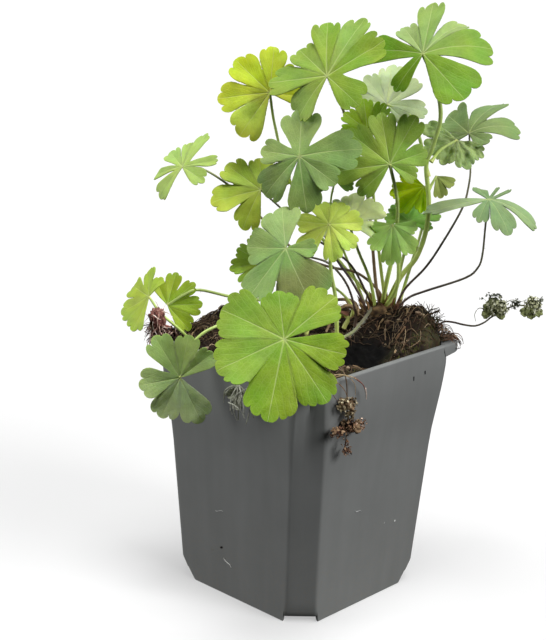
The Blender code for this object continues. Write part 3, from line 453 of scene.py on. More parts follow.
# A stalk's sRGB colours at its foot, middle and top, by its slot
STALK_SHADES = {
    STALK_GREEN: ("E4E886", "C8E272", "BCD478"),
    STALK_DARK: ("6A5042", "463A33", "7D7C54"),
    STALK_BROWN: ("8B6D58", "9A7F63", "A7B07A"),
    DRIED_BROWN: ("A0967A", "6A5A48", "5A4A3A"),
    DRIED_GREY: ("B9B391", "A3A183", "8E8F76"),
    CALYX_PINK: ("BBA58E", "B58274", "A8675E"),
    ROOT_BROWN: ("AE9878", "A08666", "8C7356"),
}

# What sticks to the pot: (face, place along it, height, length, rise over the length, colour,
# radius)
SPECKS = (
    ("left", -6.7, 36.8, 4.6, 1.5, "A9AAA8", 0.22),
    ("left", -2.8, 15.1, 4.3, -2.4, "DADBD6", 0.28),
    ("left", -6.1, 20.9, 0.8, 0.4, "2A2622", 0.5),
    ("left", -11.5, 17.8, 1.6, 0.4, "7E7C76", 0.16),
    ("right", -9.4, 42.9, 4.2, -0.9, "9A9C9B", 0.2),
    ("right", 15, 31.2, 0.5, 0.2, "E0E1DE", 0.4),
    ("right", 8.4, 32.4, 0.5, 0.6, "A6A8A6", 0.26),
    ("right", 22, 94.5, 0.3, -1.4, "303132", 0.32),
    ("right", 15, 93.5, 0.3, -1.7, "38393A", 0.3),
)

# Straw-coloured bits of bark and dead stem, near the left rim and below the crown: (x, y, length)
CHIPS = ((-24, -30, 6), (-21, -28, 4), (-27, -33, 5), (4, 22, 5), (2, 14, 7), (9, 19, 5),
         (20, 25, 4), (31, 20, 5), (24, 12, 8), (35, -6, 6), (37, 12, 4), (28, 30, 5))

# Fine form of a blade. TEETH are the notches between a lobe's rounded teeth, by the number of
# teeth, as (place across the half lobe, depth as a share of the length) at SCALLOP_DEPTH
SCALLOP_DEPTH = 0.1
TEETH = {
    3: ((-1.0, 0.15), (-0.4, 0.11), (0.4, 0.11), (1.0, 0.15)),
    5: ((-1.0, 0.09), (-0.66, 0.05), (-0.27, 0.065), (0.27, 0.065), (0.66, 0.05), (1.0, 0.09)),
}
# columns over a tooth and along a lobe's side, the lobe's length at its shoulders as a share, and
# rows from hub to margin
TOOTH_STEPS = 8
SIDE_STEPS = 5
SHOULDER = 0.86
ROWS = 16


def linear(hex_colour):
    """Scene-linear RGBA of an sRGB hex colour."""
    channels = [int(hex_colour[i:i + 2], 16) / 255 for i in (0, 2, 4)]
    return (*[c / 12.92 if c <= 0.04045 else ((c + 0.055) / 1.055) ** 2.4 for c in channels], 1.0)


def blend(one, other, share):
    """The mix of two colours."""
    return [a + (b - a) * share for a, b in zip(one, other)]


def held(value, low=0.0, high=1.0):
    """The value, kept within its limits."""
    return min(high, max(low, value))


def deselect():
    """Leaves edit mode and selects nothing, before the next operator."""
    if bpy.context.object and bpy.context.object.mode != "OBJECT":
        bpy.ops.object.mode_set(mode="OBJECT")
    bpy.ops.object.select_all(action="DESELECT")


def only(obj):
    """Selects one object alone and makes it active."""
    deselect()
    obj.select_set(True)
    bpy.context.view_layer.objects.active = obj


def apply_modifier(obj, kind, **settings):
    """Adds a modifier with its settings and applies it."""
    only(obj)
    bpy.ops.object.modifier_add(type=kind)
    modifier = obj.modifiers[-1]
    for key, value in settings.items():
        setattr(modifier, key, value)
    bpy.ops.object.modifier_apply(modifier=modifier.name)


def joined(pieces):
    """The pieces as one object, the first of them."""
    deselect()
    for piece in pieces:
        piece.select_set(True)
    bpy.context.view_layer.objects.active = pieces[0]
    if len(pieces) > 1:
        bpy.ops.object.join()
    return pieces[0]


def merged(obj, distance, outwards=True):
    """Joins points closer than the distance, in millimetres, and can turn all faces outwards."""
    only(obj)
    bpy.ops.object.mode_set(mode="EDIT")
    bpy.ops.mesh.select_all(action="SELECT")
    bpy.ops.mesh.remove_doubles(threshold=distance * MM)
    if outwards:
        bpy.ops.mesh.normals_make_consistent(inside=False)
    bpy.ops.object.mode_set(mode="OBJECT")


def ball(subdivisions):
    """A new unit ball of triangles."""
    deselect()
    bpy.ops.mesh.primitive_ico_sphere_add(subdivisions=subdivisions, radius=1)
    return bpy.context.object


def smoothed(obj, angle):
    """Shades an object smooth, apart from edges sharper than the angle."""
    only(obj)
    bpy.ops.object.shade_smooth_by_angle(angle=math.radians(angle))
    return obj


def finished(obj, name, slot, *nodes):
    """Names a piece, ties it to the plant's one body and lets it stand for its solids."""
    obj.name = obj.data.name = name
    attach(obj, "root")
    if nodes:
        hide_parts(*nodes)


def set_tints(mesh, colours):
    """Stores a linear RGBA for each point, which the materials read."""
    layer = mesh.attributes.new("tint", "FLOAT_COLOR", "POINT")
    layer.data.foreach_set("color", [c for colour in colours for c in (*colour[:3], 1.0)])


def mesh_piece(name, shells, material):
    """An object of many small closed shells, each (points in millimetres, faces, colour)."""
    points, faces, colours = [], [], []
    for some_points, some_faces, colour in shells:
        start = len(points)
        points += [tuple(c * MM for c in point) for point in some_points]
        faces += [tuple(start + i for i in face) for face in some_faces]
        colours += [colour] * len(some_points)
    mesh = bpy.data.meshes.new(name)
    mesh.from_pydata(points, [], faces)
    mesh.materials.append(material)
    set_tints(mesh, colours)
    obj = bpy.data.objects.new(name, mesh)
    bpy.context.scene.collection.objects.link(obj)
    return obj


def fill(tree, node, inputs):
    """Fills a node's inputs, by name or in order, each with a value, with a node for its first
    output, or with (node, output)."""
    for key, value in inputs.items() if isinstance(inputs, dict) else enumerate(inputs):
        source, output = value if isinstance(value, tuple) and len(value) == 2 else (value, 0)
        if isinstance(source, bpy.types.Node):
            tree.links.new(source.outputs[output], node.inputs[key])
        else:
            node.inputs[key].default_value = value


def add(tree, kind, inputs=(), **settings):
    """Adds a shader node with its settings, and fills its inputs."""
    made = tree.nodes.new("ShaderNode" + kind)
    for key, value in settings.items():
        setattr(made, key, value)
    fill(tree, made, inputs)
    return made


def new_material(name):
    """A material with its node tree and Principled shader."""
    material = bpy.data.materials.new(name)
    material.use_nodes = True
    return material, material.node_tree, material.node_tree.nodes["Principled BSDF"]


def leaf_material(name, side):
    """Living leaf tissue: waxy skin with a soft sheen, thin and a little translucent, with pale
    veins sunk in the upper face and raised on the underside."""
    material, tree, shader = new_material(name)
    upper = side == "upper"
    tint = add(tree, "Attribute", attribute_name="tint")
    place = (add(tree, "TexCoord"), "Object")
    lobe = add(tree, "UVMap", uv_map="veins")
    split = add(tree, "SeparateXYZ", [lobe])
    across = add(tree, "Math", [split, 0.5], operation="SUBTRACT")
    across = add(tree, "Math", [across], operation="ABSOLUTE")
    # a map range's inputs in order are its value, the two limits and the results at each.
    # the rib narrows towards the tip, in shares of the lobe's length
    narrowing = add(tree, "Math", [(split, "Y"), -0.004, 0.0062], operation="MULTIPLY_ADD")
    rib = add(tree, "Math", [across, narrowing], operation="DIVIDE")
    rib = add(tree, "MapRange", [rib, 0.5, 1.6, 1.0, 0.0], interpolation_type="SMOOTHSTEP")
    # side veins leave the rib at about 23 degrees, 0.21 of the lobe's length apart
    along = add(tree, "Math", [across, -4.6, (split, "Y")], operation="MULTIPLY_ADD")
    wobble = add(tree, "TexNoise", {"Vector": place, "Scale": 180.0, "Detail": 1.0})
    step = add(tree, "Math", [wobble, 0.16, along], operation="MULTIPLY_ADD")
    for operation, number in ("DIVIDE", 0.21), ("FRACT", 0.0), ("SUBTRACT", 0.5), ("ABSOLUTE", 0.0):
        step = add(tree, "Math", [step, number], operation=operation)
    side_vein = add(tree, "MapRange", [step, 0.0, 0.16, 1.0, 0.0], interpolation_type="SMOOTHSTEP")
    # a net of the finest veins, 1.5 mm apart
    net = add(tree, "TexVoronoi", {"Vector": place, "Scale": 640.0}, feature="DISTANCE_TO_EDGE")
    fine = add(tree, "MapRange", [net, 0.02, 0.16, 1.0, 0.0], interpolation_type="SMOOTHSTEP")
    # mottling of living tissue, 6 mm patches
    patch = add(tree, "TexNoise", {"Vector": place, "Scale": 150.0, "Detail": 3.0,
                                   "Roughness": 0.6})
    shade = add(tree, "MapRange", [patch, 0.3, 0.7, 0.86, 1.12])
    # young tissue is yellower and old tissue bluer, in patches of about 14 mm
    drift = add(tree, "TexNoise", {"Vector": place, "Scale": 70.0, "Detail": 1.0})
    hue = add(tree, "MapRange", [drift, 0.3, 0.7, 0.482, 0.512])
    ground = add(tree, "HueSaturation", {"Color": tint, "Value": shade, "Hue": hue,
                                         "Saturation": 1.12})
    pale = add(tree, "Mix", {0: 0.29, 6: ground, 7: linear("DCE6A4" if upper else "DDE2C4")},
               data_type="RGBA")
    # how strongly the veins show: the rib most, then its side veins, then the net
    veins = add(tree, "Math", [side_vein, 0.2], operation="MULTIPLY")
    fine = add(tree, "Math", [fine, 0.12], operation="MULTIPLY")
    for other in (fine, rib):
        veins = add(tree, "Math", [veins, other], operation="MAXIMUM")
    # the hub, where all ribs meet, is bright yellow-green
    near = add(tree, "Math", [across, (split, "Y")], operation="ADD")
    hub = add(tree, "MapRange", [near, 0.0, 0.1, 1.0, 0.0], interpolation_type="SMOOTHSTEP")
    hub = add(tree, "Math", [hub, 0.4], operation="MULTIPLY")
    veined = add(tree, "Mix", {0: veins, 6: ground, 7: (pale, 2)}, data_type="RGBA")
    lit = add(tree, "Mix", {0: hub, 6: (veined, 2), 7: linear("C9D97F")}, data_type="RGBA")
    height = add(tree, "Math", [veins, -1.0 if upper else 1.0, patch], operation="MULTIPLY_ADD")
    relief = add(tree, "Bump", {"Height": height, "Strength": 0.4, "Distance": 0.6 * MM})
    fill(tree, shader, {"Base Color": (lit, 2), "Normal": relief, "IOR": 1.42,
                        "Roughness": 0.55 if upper else 0.7, "Specular IOR Level": 0.25,
                        "Sheen Weight": 0.04, "Sheen Roughness": 0.5, "Subsurface Weight": 0.4,
                        "Subsurface Radius": (0.8, 1.0, 0.25), "Subsurface Scale": 1.5 * MM})
    return material


def tinted_material(name, roughness, grain, contrast, paler=None, share=0.0, bump=0.3, **sockets):
    """Dull organic skin: the piece's own tints with a grain, in millimetres, darker and paler."""
    material, tree, shader = new_material(name)
    tint = add(tree, "Attribute", attribute_name="tint")
    patch = add(tree, "TexNoise", {"Vector": (add(tree, "TexCoord"), "Object"),
                                   "Scale": 1 / (grain * MM), "Detail": 4.0, "Roughness": 0.65})
    shade = add(tree, "MapRange", [patch, 0.3, 0.7, 1 - contrast, 1 + contrast])
    colour = add(tree, "HueSaturation", {"Color": tint, "Value": shade})
    if paler:
        colour = (add(tree, "Mix", {0: share, 6: colour, 7: linear(paler)}, data_type="RGBA"), 2)
    relief = add(tree, "Bump", {"Height": patch, "Strength": bump, "Distance": 0.3 * MM})
    fill(tree, shader, {"Base Color": colour, "Normal": relief, "Roughness": roughness,
                        **{key.replace("_", " "): value for key, value in sockets.items()}})
    return material


def pot_material(settings):
    """Recycled polypropylene, injection moulded: matt dark grey with a fine grain, faint upright
    flow streaks, and dust that dulls it towards the foot."""
    material, tree, shader = new_material("recycled_polypropylene_moulded")
    place = (add(tree, "TexCoord"), "Object")
    # flow streaks, 5 mm apart and drawn out upwards
    stretch = add(tree, "Mapping", {"Vector": place, "Scale": (1.0, 1.0, 0.07)})
    streak = add(tree, "TexNoise", {"Vector": stretch, "Scale": 190.0, "Detail": 2.0})
    shade = add(tree, "MapRange", [streak, 0.3, 0.7, 0.965, 1.035])
    cloud = add(tree, "TexNoise", {"Vector": place, "Scale": 38.0, "Detail": 4.0, "Roughness": 0.6})
    wide = add(tree, "MapRange", [cloud, 0.3, 0.7, 0.95, 1.05])
    value = add(tree, "Math", [shade, wide], operation="MULTIPLY")
    plastic = add(tree, "HueSaturation", {"Color": (*settings.plastic_colour, 1.0), "Value": value})
    # dust: thin overall, thicker near the foot, in specks about 1 mm across
    split = add(tree, "SeparateXYZ", [place])
    low = add(tree, "MapRange", [(split, "Z"), 0.004, 0.06, 1.0, 0.0],
              interpolation_type="SMOOTHSTEP")
    speck = add(tree, "TexNoise", {"Vector": place, "Scale": 900.0, "Detail": 3.0,
                                   "Roughness": 0.7})
    speck = add(tree, "MapRange", [speck, 0.48, 0.75])
    dust = add(tree, "Math", [low, speck], operation="MULTIPLY")
    dust = add(tree, "Math", [dust, 0.35], operation="MULTIPLY")
    dusty = add(tree, "Mix", {0: dust, 6: plastic, 7: linear("8C8272")}, data_type="RGBA")
    grain = add(tree, "TexNoise", {"Vector": place, "Scale": 2200.0, "Detail": 2.0})
    relief = add(tree, "Bump", {"Height": grain, "Strength": 0.12, "Distance": 0.1 * MM})
    fill(tree, shader, {"Base Color": (dusty, 2), "Normal": relief, "Roughness": 0.5, "IOR": 1.49,
                        "Specular IOR Level": 0.4})
    return material


def smooth_line(points, step):
    """Points a step apart along a smooth curve through the given ones (Catmull-Rom)."""
    through = [Vector(p) for p in points]
    through = [2 * through[0] - through[1], *through, 2 * through[-1] - through[-2]]
    line = [through[1]]
    for before, start, end, after in zip(through, through[1:], through[2:], through[3:]):
        pieces = max(1, round((end - start).length / step))
        for i in range(1, pieces + 1):
            t = i / pieces
            line.append(0.5 * (2 * start + (end - before) * t
                               + (2 * before - 5 * start + 4 * end - after) * t * t
                               + (3 * start - before - 3 * end + after) * t ** 3))
    return line


def lobe_margins(lobes):
    """The angles halfway between neighbouring lobes, and one past each end, the basal margins."""
    angles = [lobe[0] for lobe in lobes]
    inner = []
    for one, other in zip(lobes, lobes[1:]):
        widths = [lobe[3] if len(lobe) > 3 else 0 for lobe in (one, other)]
        lean = (widths[0] - widths[1]) / 2 if all(widths) else 0
        inner.append((one[0] + other[0]) / 2 + lean)
    span = angles[-1] - angles[0]
    reach = min(span / (len(angles) - 1), WIDEST_FAN - span) / 2
    return [angles[0] - reach, *inner, angles[-1] + reach]


def side_gap(leaf, number, beside, seed):
    """(how far a lobe reaches towards its margin, how wide the slit there stays), as shares of the
    half lobe. Some gaps stand open, and others close again where the lobes' shoulders meet."""
    margin = number + (beside > number)
    half = abs(lobe_margins(leaf.lobes)[margin] - leaf.lobes[number][0])
    rng = random.Random(GAP_SEEDS * seed + margin)
    if len(leaf.lobes[number]) > 3:
        share = min(1.0, leaf.lobes[number][3] / half)
        return min(0.99, share), OPEN_SLIT
    if 0 <= beside < len(leaf.lobes) and rng.random() < leaf.fullness - GAP_CHANCE:
        return 1.0 - rng.uniform(0.0, 0.02), rng.uniform(0.03, 0.08)
    return min(0.98, leaf.fullness + 0.04) - rng.uniform(0, 0.08), 0.0


def lobe_columns(leaf, number, seed):
    """(angle, reach) of the fan's columns across one lobe: out along its side from the notch, over
    its rounded teeth, and back along the other side."""
    rng = random.Random(LOBE_SEEDS * seed + number)
    depth = bpy.context.scene.geranium_leaves.scallop_depth / SCALLOP_DEPTH
    margins = lobe_margins(leaf.lobes)
    centre, length = leaf.lobes[number][:2]
    teeth = [(edge + rng.uniform(-0.07, 0.07), notch * depth * rng.uniform(0.75, 1.25))
             for edge, notch in TEETH[leaf.teeth]]
    teeth[0], teeth[-1] = (-1.0, teeth[0][1]), (1.0, teeth[-1][1])
    tops = []
    for (low, low_notch), (high, high_notch) in zip(teeth, teeth[1:]):
        middle, half = (low + high) / 2, (high - low) / 2
        lift = rng.uniform(-0.02, 0.03)
        for k in range(TOOTH_STEPS + 1):
            if k == TOOTH_STEPS and high != 1.0:
                continue
            turn = math.pi * (k / TOOTH_STEPS - 0.5)
            share = middle + half * math.sin(turn)
            envelope = 1 - (1 - SHOULDER) * abs(share) ** 2.2 + lift * math.cos(turn)
            notch = low_notch if turn < 0 else high_notch
            tops.append((share, length * envelope * (1 - notch * (1 - math.cos(turn)))))
    columns = []
    for sign, inner in ((-1, number), (1, number + 1)):
        beside = number + sign
        far, slit = side_gap(leaf, number, beside, seed)
        if 0 <= beside < len(leaf.lobes):
            notch = leaf.sinus * min(leaf.lobes[beside][1], length)
            notch *= SHALLOW_NOTCH if far < APART_SHARE else 1.0
        else:
            notch = HUB_MARGIN
        start = tops[0][1] if sign < 0 else tops[-1][1]
        side = []
        for k in range(SIDE_STEPS):
            s = k / SIDE_STEPS
            across = 1 - (1 - far) * s ** 0.5 - slit * math.sin(math.pi * s ** 0.7)
            side.append((centre + across * (margins[inner] - centre), notch + (start - notch) * s))
        if sign < 0:
            columns += side
            for share, reach in tops:
                inner = number if share < 0 else number + 1
                toward = number + (-1 if share < 0 else 1)
                across = side_gap(leaf, number, toward, seed)[0] * abs(share)
                columns.append((centre + across * (margins[inner] - centre),
                                min(reach, 1.02 * length)))
        else:
            columns += side[::-1]
    return columns


def blade_point(leaf, shapes, number, angle, radius):
    """A point of the shaped blade in the leaf's own frame. Each lobe curls down, droops, twists and
    folds along its rib in its own way, and the ribs lie in shallow valleys."""
    margins = lobe_margins(leaf.lobes)
    centre, length, curl = leaf.lobes[number][:3]
    droop, twist, fold = shapes[number]
    margin = margins[number + 1] if angle > centre else margins[number]
    across = min(1.0, abs(angle - centre) / abs(margin - centre))
    beside = number + (1 if angle > centre else -1)
    if 0 <= beside < len(leaf.lobes):
        notch = leaf.sinus * min(length, leaf.lobes[beside][1])
        weight = 0.5 * across ** 6 * held(1.5 - radius / notch)
        length += weight * (leaf.lobes[beside][1] - length)
        curl += weight * (leaf.lobes[beside][2] - curl)
        twist *= 1 - 2 * weight
    bend = math.radians(curl) * radius / length
    share = radius / length
    along = radius * (math.sin(bend) / bend if bend else 1.0)
    down = radius * ((1 - math.cos(bend)) / bend if bend else 0.0)
    height = -0.3 * leaf.pleat * radius * math.cos(math.pi * across) * min(1, 2 * share) - down
    height += LEAF_WAVE * share * share * math.sin(math.radians(3 * angle + leaf.turn))
    turned = math.radians(angle)
    flat = Vector((along * math.cos(turned), along * math.sin(turned), 0))
    if leaf.crumple:
        height += leaf.crumple * noise.noise(Vector((flat.x * 0.35, flat.y * 0.35, leaf.turn)))
        height += 0.4 * leaf.crumple * noise.noise(Vector((flat.x, flat.y, leaf.turn + 5)))
    free = max(0.0, share - 0.3) / 0.7
    aside = radius * math.sin(math.radians(abs(angle - centre)))
    height -= radius * free * math.sin(math.radians(droop)) * 0.5
    height += twist * radius * free * (across if angle > centre else -across)
    height -= fold * free * (math.sqrt(aside * aside + 1.5) - 1.22)
    # the rib is a furrow, and the tissue between veins swells a little and ripples at the margin
    height -= 0.14 * math.exp(-(aside / 0.55) ** 2) * min(1, 4 * share)
    height += 0.35 * share * noise.noise(Vector((flat.x * 0.25, flat.y * 0.25, leaf.turn + 11)))
    height += 0.9 * share ** 4 * noise.noise(Vector((flat.x * 0.2, flat.y * 0.2, leaf.turn + 23)))
    return flat + Vector((0, 0, height))


def blade_matrix(leaf):
    """From the leaf's frame to the plant's: the face leans by lean towards bearing."""
    return (Matrix.Translation(Vector(leaf.hub))
            @ Matrix.Rotation(math.radians(leaf.bearing), 4, "Z")
            @ Matrix.Rotation(math.radians(leaf.lean), 4, "Y")
            @ Matrix.Rotation(math.radians(leaf.turn), 4, "Z"))


def blade(name, leaf, materials, seed):
    """A blade from a grid: its columns fan out from the hub to the scalloped margin."""
    settings = bpy.context.scene.geranium_leaves
    rng = random.Random(seed)
    shapes = [(rng.uniform(-6, 16), rng.uniform(-0.09, 0.09), rng.uniform(-0.08, 0.28))
              for _ in leaf.lobes]
    columns = []
    for number in range(len(leaf.lobes)):
        columns += [(number, *column) for column in lobe_columns(leaf, number, seed)]
    count = len(columns)
    deselect()
    bpy.ops.mesh.primitive_grid_add(x_subdivisions=count - 1, y_subdivisions=ROWS - 1, size=1)
    obj = bpy.context.object
    mesh = obj.data
    if len(mesh.vertices) != count * ROWS:
        raise RuntimeError(f"{name}: the grid has {len(mesh.vertices)} points, not {count * ROWS}")
    matrix = blade_matrix(leaf)
    tint = linear(leaf.tint)
    paler, darker = blend(tint, linear("C3D2A6"), PALER), [c * DARKER for c in tint]
    tones = leaf.tones or (0,) * len(leaf.lobes)
    flat, colours = [], []
    for vertex in mesh.vertices:
        column = count - 1 - round((vertex.co.x + 0.5) * (count - 1))
        row = round((vertex.co.y + 0.5) * (ROWS - 1))
        number, angle, reach = columns[column]
        radius = reach * (row / (ROWS - 1)) ** 0.9
        vertex.co = matrix @ blade_point(leaf, shapes, number, angle, radius) * MM
        flat.append((angle, radius, number))
        # a lobe's tone, which on some leaves is painted light and shade
        colour = blend(tint, paler if tones[number] > 0 else darker, abs(tones[number]))
        # patches along a lobe: a withered spot on one leaf, painted light on another
        for patch_lobe, patch_colour, share in leaf.stains_and_painted_light:
            if patch_lobe == number:
                away = abs(radius / leaf.lobes[number][1] - PATCH_AT) / PATCH_REACH
                colour = blend(colour, linear(patch_colour), share * max(0.0, 1 - away * away))
        colours.append(colour)
    veins = mesh.uv_layers.active
    veins.name = "veins"
    for polygon in mesh.polygons:
        number = min(flat[v][2] for v in polygon.vertices)
        centre, length = leaf.lobes[number][:2]
        for loop, vertex in zip(polygon.loop_indices, polygon.vertices):
            angle, radius, _ = flat[vertex]
            turned = math.radians(angle - centre)
            veins.data[loop].uv = (0.5 + 0.5 * radius * math.sin(turned) / length,
                                   radius * math.cos(turned) / length)
    set_tints(mesh, colours)
    merged(obj, 0.01, outwards=False)
    apply_modifier(obj, "SOLIDIFY", thickness=settings.blade_thickness, offset=0.0,
                   use_rim=True, material_offset=1, material_offset_rim=2)
    for material in materials:
        mesh.materials.append(material)
    smoothed(obj, 65)
    return obj


def hairs(line, radius, end_share, length, rng):
    """Short straight hairs standing out all along a stalk, each a slim three-sided cone."""
    points, faces, steps = [], [], len(line) - 1
    total = sum((b - a).length for a, b in zip(line, line[1:]))
    for _ in range(round(total * HAIRS_PER_MM)):
        where = rng.uniform(FOOT_SHARE, 1) * steps
        i = min(int(where), steps - 1)
        along = (line[i + 1] - line[i]).normalized()
        middle = line[i].lerp(line[i + 1], where - i)
        out = along.orthogonal().normalized()
        out.rotate(Matrix.Rotation(rng.uniform(0, math.tau), 3, along))
        side = along.cross(out)
        root = middle + out * radius * (1 + (end_share - 1) * where / steps) * 0.8
        start = len(points)
        for turn in (0, 2.1, 4.2):
            points.append(root + (along * math.cos(turn) + side * math.sin(turn)) * 0.07)
        ahead = out + along * rng.uniform(-0.5, 0.3)
        points.append(root + ahead * length * rng.uniform(0.6, 1.2))
        faces += [(start, start + 2, start + 1), (start, start + 1, start + 3),
                  (start + 1, start + 2, start + 3), (start + 2, start, start + 3)]
    return points, faces


def rooted(route):
    """The route with a straight start below the ground."""
    x, y, z = route[0]
    return ((x, y, z - ROOTED_DEPTH), *route)


def stalk(name, stem, route, share, material, hair=0.0, seed=1, end_share=STALK_END_TAPER):
    """A tapering round stalk through the route's points, its radius a share of the stem's, its
    colour running from foot to top, with fine hairs of the given length. A dark one is slimmer."""
    radius = stem.radius * share
    if stem.colour == STALK_DARK:
        radius *= DARK_STALK_SHARE
    line = smooth_line(route, 1.6)
    deselect()
    bpy.ops.curve.primitive_nurbs_path_add()
    obj = bpy.context.object
    obj.name = name
    curve = obj.data
    curve.splines.clear()
    curve.bevel_depth = radius * MM
    curve.bevel_resolution = 3
    curve.use_fill_caps = True
    spline = curve.splines.new("POLY")
    spline.points.add(len(line) - 1)
    for i, (target, point) in enumerate(zip(spline.points, line)):
        t = i / (len(line) - 1)
        target.co = (*(point * MM), 1)
        swelling = FOOT_SWELLING * max(0, FOOT_SHARE - t) / FOOT_SHARE
        target.radius = 1 + (end_share - 1) * t + swelling + 0.06 * noise.noise(point * 0.5)
    bpy.ops.object.convert(target="MESH")
    mesh = obj.data
    mesh.materials.clear()
    mesh.materials.append(material)
    ring = len(mesh.vertices) // len(line)
    foot, middle, top = (linear(colour) for colour in stem.shades or STALK_SHADES[stem.colour])
    tints = []
    for index in range(len(mesh.vertices)):
        t = min(1.0, index // ring / (len(line) - 1))
        tints.append(blend(foot, middle, t / MIDDLE_COLOUR_AT) if t < MIDDLE_COLOUR_AT else
                     blend(middle, top, (t - MIDDLE_COLOUR_AT) / (1 - MIDDLE_COLOUR_AT)))
    set_tints(mesh, tints)
    merged(obj, 0.001)
    smoothed(obj, 50)
    if hair:
        shell = (*hairs(line, radius, end_share, hair, random.Random(seed)),
                 blend(linear("E6E6D2"), middle, 0.35))
        obj = joined([obj, mesh_piece("hairs", [shell], material)])
    return obj


def body_width(z):
    """The tapered body's width at a height."""
    return BODY_FOOT_WIDTH + (BODY_TOP_WIDTH - BODY_FOOT_WIDTH) * z / BODY_HEIGHT


def corner_cut(z, foot=CORNER_CUT_FOOT):
    """How far each corner is cut back along the sides at a height, given the cut at the foot."""
    cut = CORNER_CUT_LOW + (CORNER_CUT_TOP - CORNER_CUT_LOW) * z / BODY_HEIGHT
    if z < FOOT_TAPER_HEIGHT:
        cut += (foot - CORNER_CUT_LOW) * (1 - z / FOOT_TAPER_HEIGHT)
    return cut


def around(corners):
    """The points of four corners, each from the middle of one side to the next as if it were the
    front one, turned to their places."""
    ring = []
    for turn, corner in enumerate(corners):
        spin = Matrix.Rotation(math.radians(90 * turn), 2)
        ring += [spin @ Vector(point) for point in corner]
    return ring


def wall_ring(z, inset):
    """The wall's outline at a height, moved inwards by inset, its upright edges rounded. The front
    corner's foot is cut back less than the others."""
    plain = wall_corner(z, inset, CORNER_CUT_FOOT)
    return around((wall_corner(z, inset, CORNER_CUT_FRONT_FOOT), plain, plain, plain))


def curve_through(first, bend, last):
    """Six points of a curve that leaves the first point and reaches the last one along the lines
    to the bend."""
    return [[(1 - s) ** 2 * a + 2 * s * (1 - s) * b + s * s * c
             for a, b, c in zip(first, bend, last)] for s in (k / 5 for k in range(6))]


def wall_corner(z, inset, foot):
    """A quarter of the wall's outline: one cut corner between the middles of two sides."""
    half = body_width(z) / 2 - inset
    cut = corner_cut(z, foot) - inset * (2 - math.sqrt(2))
    start, diagonal = half - cut - EDGE_REACH, EDGE_REACH / math.sqrt(2)
    first = ((start, -half), (half - cut, -half), (half - cut + diagonal, -half + diagonal))
    last = [(-y, -x) for x, y in reversed(first)]
    across = [[a + (b - a) * k / 6 for a, b in zip(first[2], last[0])] for k in range(1, 6)]
    return [(0, -half), (start - EDGE_LEAD, -half), *curve_through(*first), *across,
            *curve_through(*last), (half, -(start - EDGE_LEAD))]


def rim_ring(inset, rounding):
    """The rim's square outline with rounded corners, point for point beside a wall ring."""
    half = RIM_WIDTH / 2 - inset
    start = body_width(BODY_HEIGHT) / 2 - CORNER_CUT_TOP - EDGE_REACH
    straight, arc = half - rounding - start, math.pi / 2 * rounding
    corner = [(0, -half), (start - EDGE_LEAD, -half)]
    for k in range(CUT_STEPS + 1):
        way = (2 * straight + arc) * k / CUT_STEPS
        if way <= straight:
            corner.append((start + way, -half))
        elif way < straight + arc:
            turn = (way - straight) / rounding - math.pi / 2
            corner.append((half - rounding + rounding * math.cos(turn),
                           -half + rounding + rounding * math.sin(turn)))
        else:
            corner.append((half, -(start + 2 * straight + arc - way)))
    corner.append((half, -(start - EDGE_LEAD)))
    return around([corner] * 4)


def flare(z):
    """How far the sides have swollen out into the rim at a height, from 0 to 1."""
    s = held((z - FLARE_LOW) / (FLARE_HIGH - FLARE_LOW))
    return s * s * (3 - 2 * s)


def flared_ring(z):
    """The wall's outline where its sides swell out into the rim."""
    wall = wall_ring(min(z, BODY_HEIGHT), 0)
    return [a.lerp(b, flare(z)) for a, b in zip(wall, rim_ring(0, RIM_CORNER))]


def pot_levels():
    """(side outline, side height, corner outline, corner height, steps from side to corner) from
    the underside's middle, out and up over the rim, and down inside to the floor."""
    middle = [Vector((0, 0))] * len(wall_ring(0, 0))
    foot = DRAIN_SLOT_HEIGHT
    levels = [(middle, FLOOR_LOW, middle, FLOOR_LOW, 1)]
    for inset, z in ((2.6, FLOOR_LOW), (1.5, 0.2), (1.3, 0.0), (0.35, 0.0), (0.0, 0.35)):
        ring = wall_ring(0, inset)
        levels.append((ring, z, ring, max(z, FLOOR_LOW) if inset > 2 else z + foot, 1))
    # (side height, corner height, steps) up the wall and round the flare
    for side, z, steps in (*((z, z, 8) for z in (5, 8.6, 9.4, 30, 60, 68, 76, 84, 89, 93)),
                           (95, 96, 8), (96.5, 98.5, 7), (98, 100.6, 5)):
        levels.append((flared_ring(side), side, wall_ring(z, 0), z, steps))
    levels.append((flared_ring(99.2), 99.2, wall_ring(101.4, -0.1), 101.5, 3))
    # out under the ears: (side height, inset, how much tighter the corner is, its height)
    for side, inset, tighter, z in ((100.2, SKIRT, 1, 101.7), (101, SKIRT, 1, 98.4),
                                    (101.6, 1.3, 0.9, 98.0), (101.9, 0.35, 0, 97.9),
                                    (102.2, 0, 0, 98.3)):
        levels.append((flared_ring(side), side, rim_ring(inset, RIM_CORNER - tighter), z, 1))
    for inset, z in ((0, 102.4), (0.12, 102.8), (0.4, POT_HEIGHT)):
        ring = rim_ring(inset, RIM_CORNER)
        levels.append((ring, z, ring, z, 1))
    for inset, z in ((0.8, POT_HEIGHT), (WALL - 0.1, 102.9), (WALL, 102.5), (WALL, 60),
                     (WALL, 9.2), (WALL, 5), (1.8, FLOOR_HIGH)):
        ring = wall_ring(z, inset)
        levels.append((ring, z, ring, z, 1))
    levels.append((middle, FLOOR_HIGH, middle, FLOOR_HIGH, 1))
    return levels


def corner_share(index, size, steps):
    """0 on a flat side, 1 across a cut corner, for a point of a ring."""
    place = index % (size // 4)
    return held(min(place - CUT_START, CUT_START + CUT_STEPS - place) / steps)


def tip_share(index, size):
    """0 beside the flat sides, 1 at the rim's corner, for a point of a ring."""
    half = CUT_STEPS / 2
    return max(0.0, 1 - abs(index % (size // 4) - CUT_START - half) / half)


